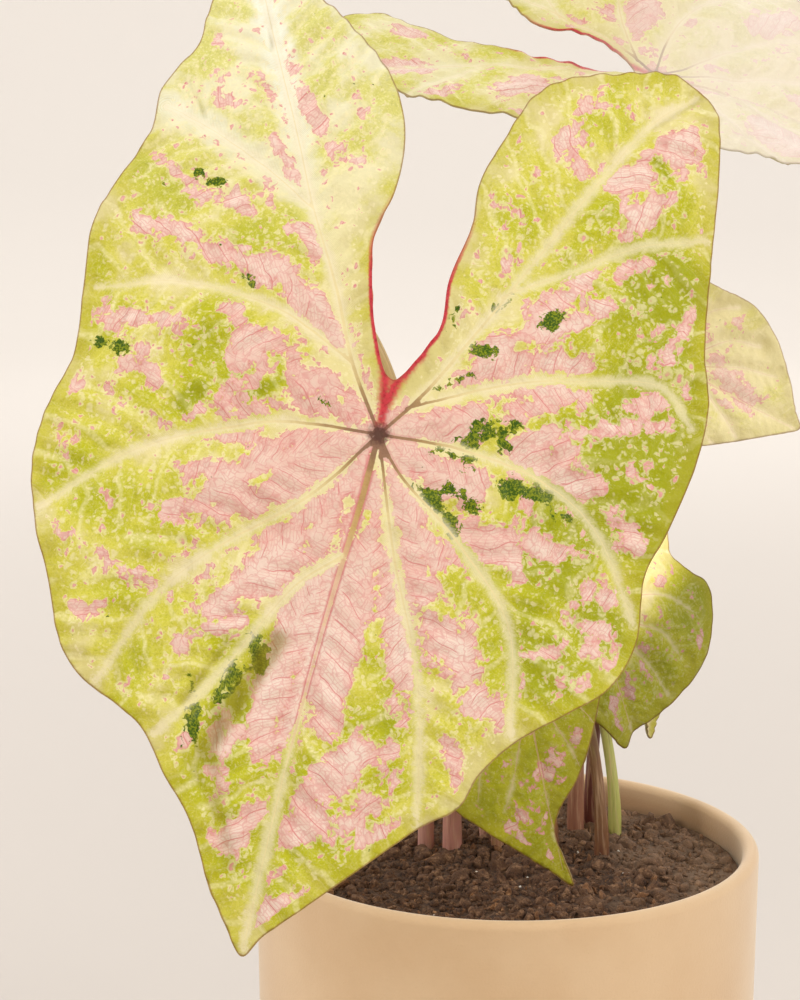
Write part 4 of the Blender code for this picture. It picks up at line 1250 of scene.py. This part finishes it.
def dress_tubers():
    look = Look("tuber_skin", 0.85)
    spot = look.millimetres()
    bark = look.noise(spot, 3.0, 4.0)
    rings = look.noise(look.vector("MULTIPLY", spot, (0.1, 0.1, 1.0)), 1.2)
    colour = look.coats((96, 64, 42), ((bark + rings * 0.6).step(-0.15, 0.2), (150, 112, 78)))
    look.wear({"Base Color": colour, "Roughness": 0.85 + bark * 0.2})
    look.bump(bark, 0.0005)
    for name in TUBER_CENTRES:
        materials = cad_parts[f"tuber_{name}"].data.materials
        materials.clear()
        materials.append(look.material)


def area_light(name, place, target, width, power, shade):
    data = bpy.data.lights.new(name, "AREA")
    data.shape = "DISK"
    data.size = width
    data.energy = power
    data.color = shade
    lamp = bpy.data.objects.new(name, data)
    lamp.location = place
    lamp.rotation_euler = (Vector(target) - Vector(place)).to_track_quat("-Z", "Y").to_euler()
    lamp.visible_camera = False
    bpy.context.scene.collection.objects.link(lamp)


def build_floor():
    """A round floor that sweeps up far behind the plant, just under its base."""
    flat_to, sweep, top, low = 2.35, 1.5, 2.6, -0.0002
    profile = [(0, low), (0.5, low), (flat_to, low)]
    profile += round_corner((flat_to, sweep + low), sweep, -90, 0, 25)[1:] + [(flat_to + sweep, top)]
    ground = bpy.data.objects.new("studio_floor", ring_mesh("studio_floor", profile, 128))
    ground.data.flip_normals()
    ground.data.shade_smooth()
    paper = Look("studio_paper", 0.9)
    far = paper.vector("LENGTH", paper.node("ShaderNodeTexCoord", None, None, out=3), out=1)
    # Painted light: the paper is darker near the plant and paler far off.
    paper.wear({"Base Color": paper.coats((210, 204, 198), (far.step(0.3, 3.0), (249, 245, 240)))})
    ground.data.materials.append(paper.material)
    bpy.context.scene.collection.objects.link(ground)


def build_studio():
    build_floor()
    world = bpy.data.worlds.new("studio_air")
    world.use_nodes = True
    air = world.node_tree.nodes["Background"].inputs
    air["Color"].default_value = tone(249, 244, 240)
    air["Strength"].default_value = 0.75
    bpy.context.scene.world = world
    middle = (0, 0, 0.22)
    area_light("window_right", (1.6, -0.8, 1.5), middle, 0.9, 15, (1.0, 0.975, 0.945))
    area_light("window_left", (-1.9, 0.0, 1.4), middle, 0.9, 18, (1.0, 0.98, 0.965))
    area_light("soft_front", (0.1, -1.7, 1.5), middle, 1.4, 8, (1.0, 0.985, 0.96))
    area_light("back_glow", (0.3, 1.9, 1.6), (0, 0, 0.3), 1.2, 10, (1.0, 0.98, 0.94))
    area_light("wall_wash", (0.0, 1.7, 1.5), (0, 3.6, 0.7), 1.6, 3.5, (1.0, 0.985, 0.965))


def build_camera():
    data = bpy.data.cameras.new("photo_view")
    data.lens = 90
    data.sensor_width = 36
    camera = bpy.data.objects.new("photo_view", data)
    camera.location = (-0.032, -0.720, 0.3685)
    camera.rotation_euler = (math.radians(90 - 10.27), 0, 0)
    bpy.context.scene.collection.objects.link(camera)
    bpy.context.scene.camera = camera


def main():
    blade = leaf_look()
    for number, (name, leaf) in enumerate(LEAVES.items(), 1):
        build_blade(name, leaf, number, blade)
    build_stems()
    build_pot()
    build_soil()
    dress_tubers()
    build_studio()
    build_camera()
    bpy.context.scene.view_settings.view_transform = "Standard"


main()
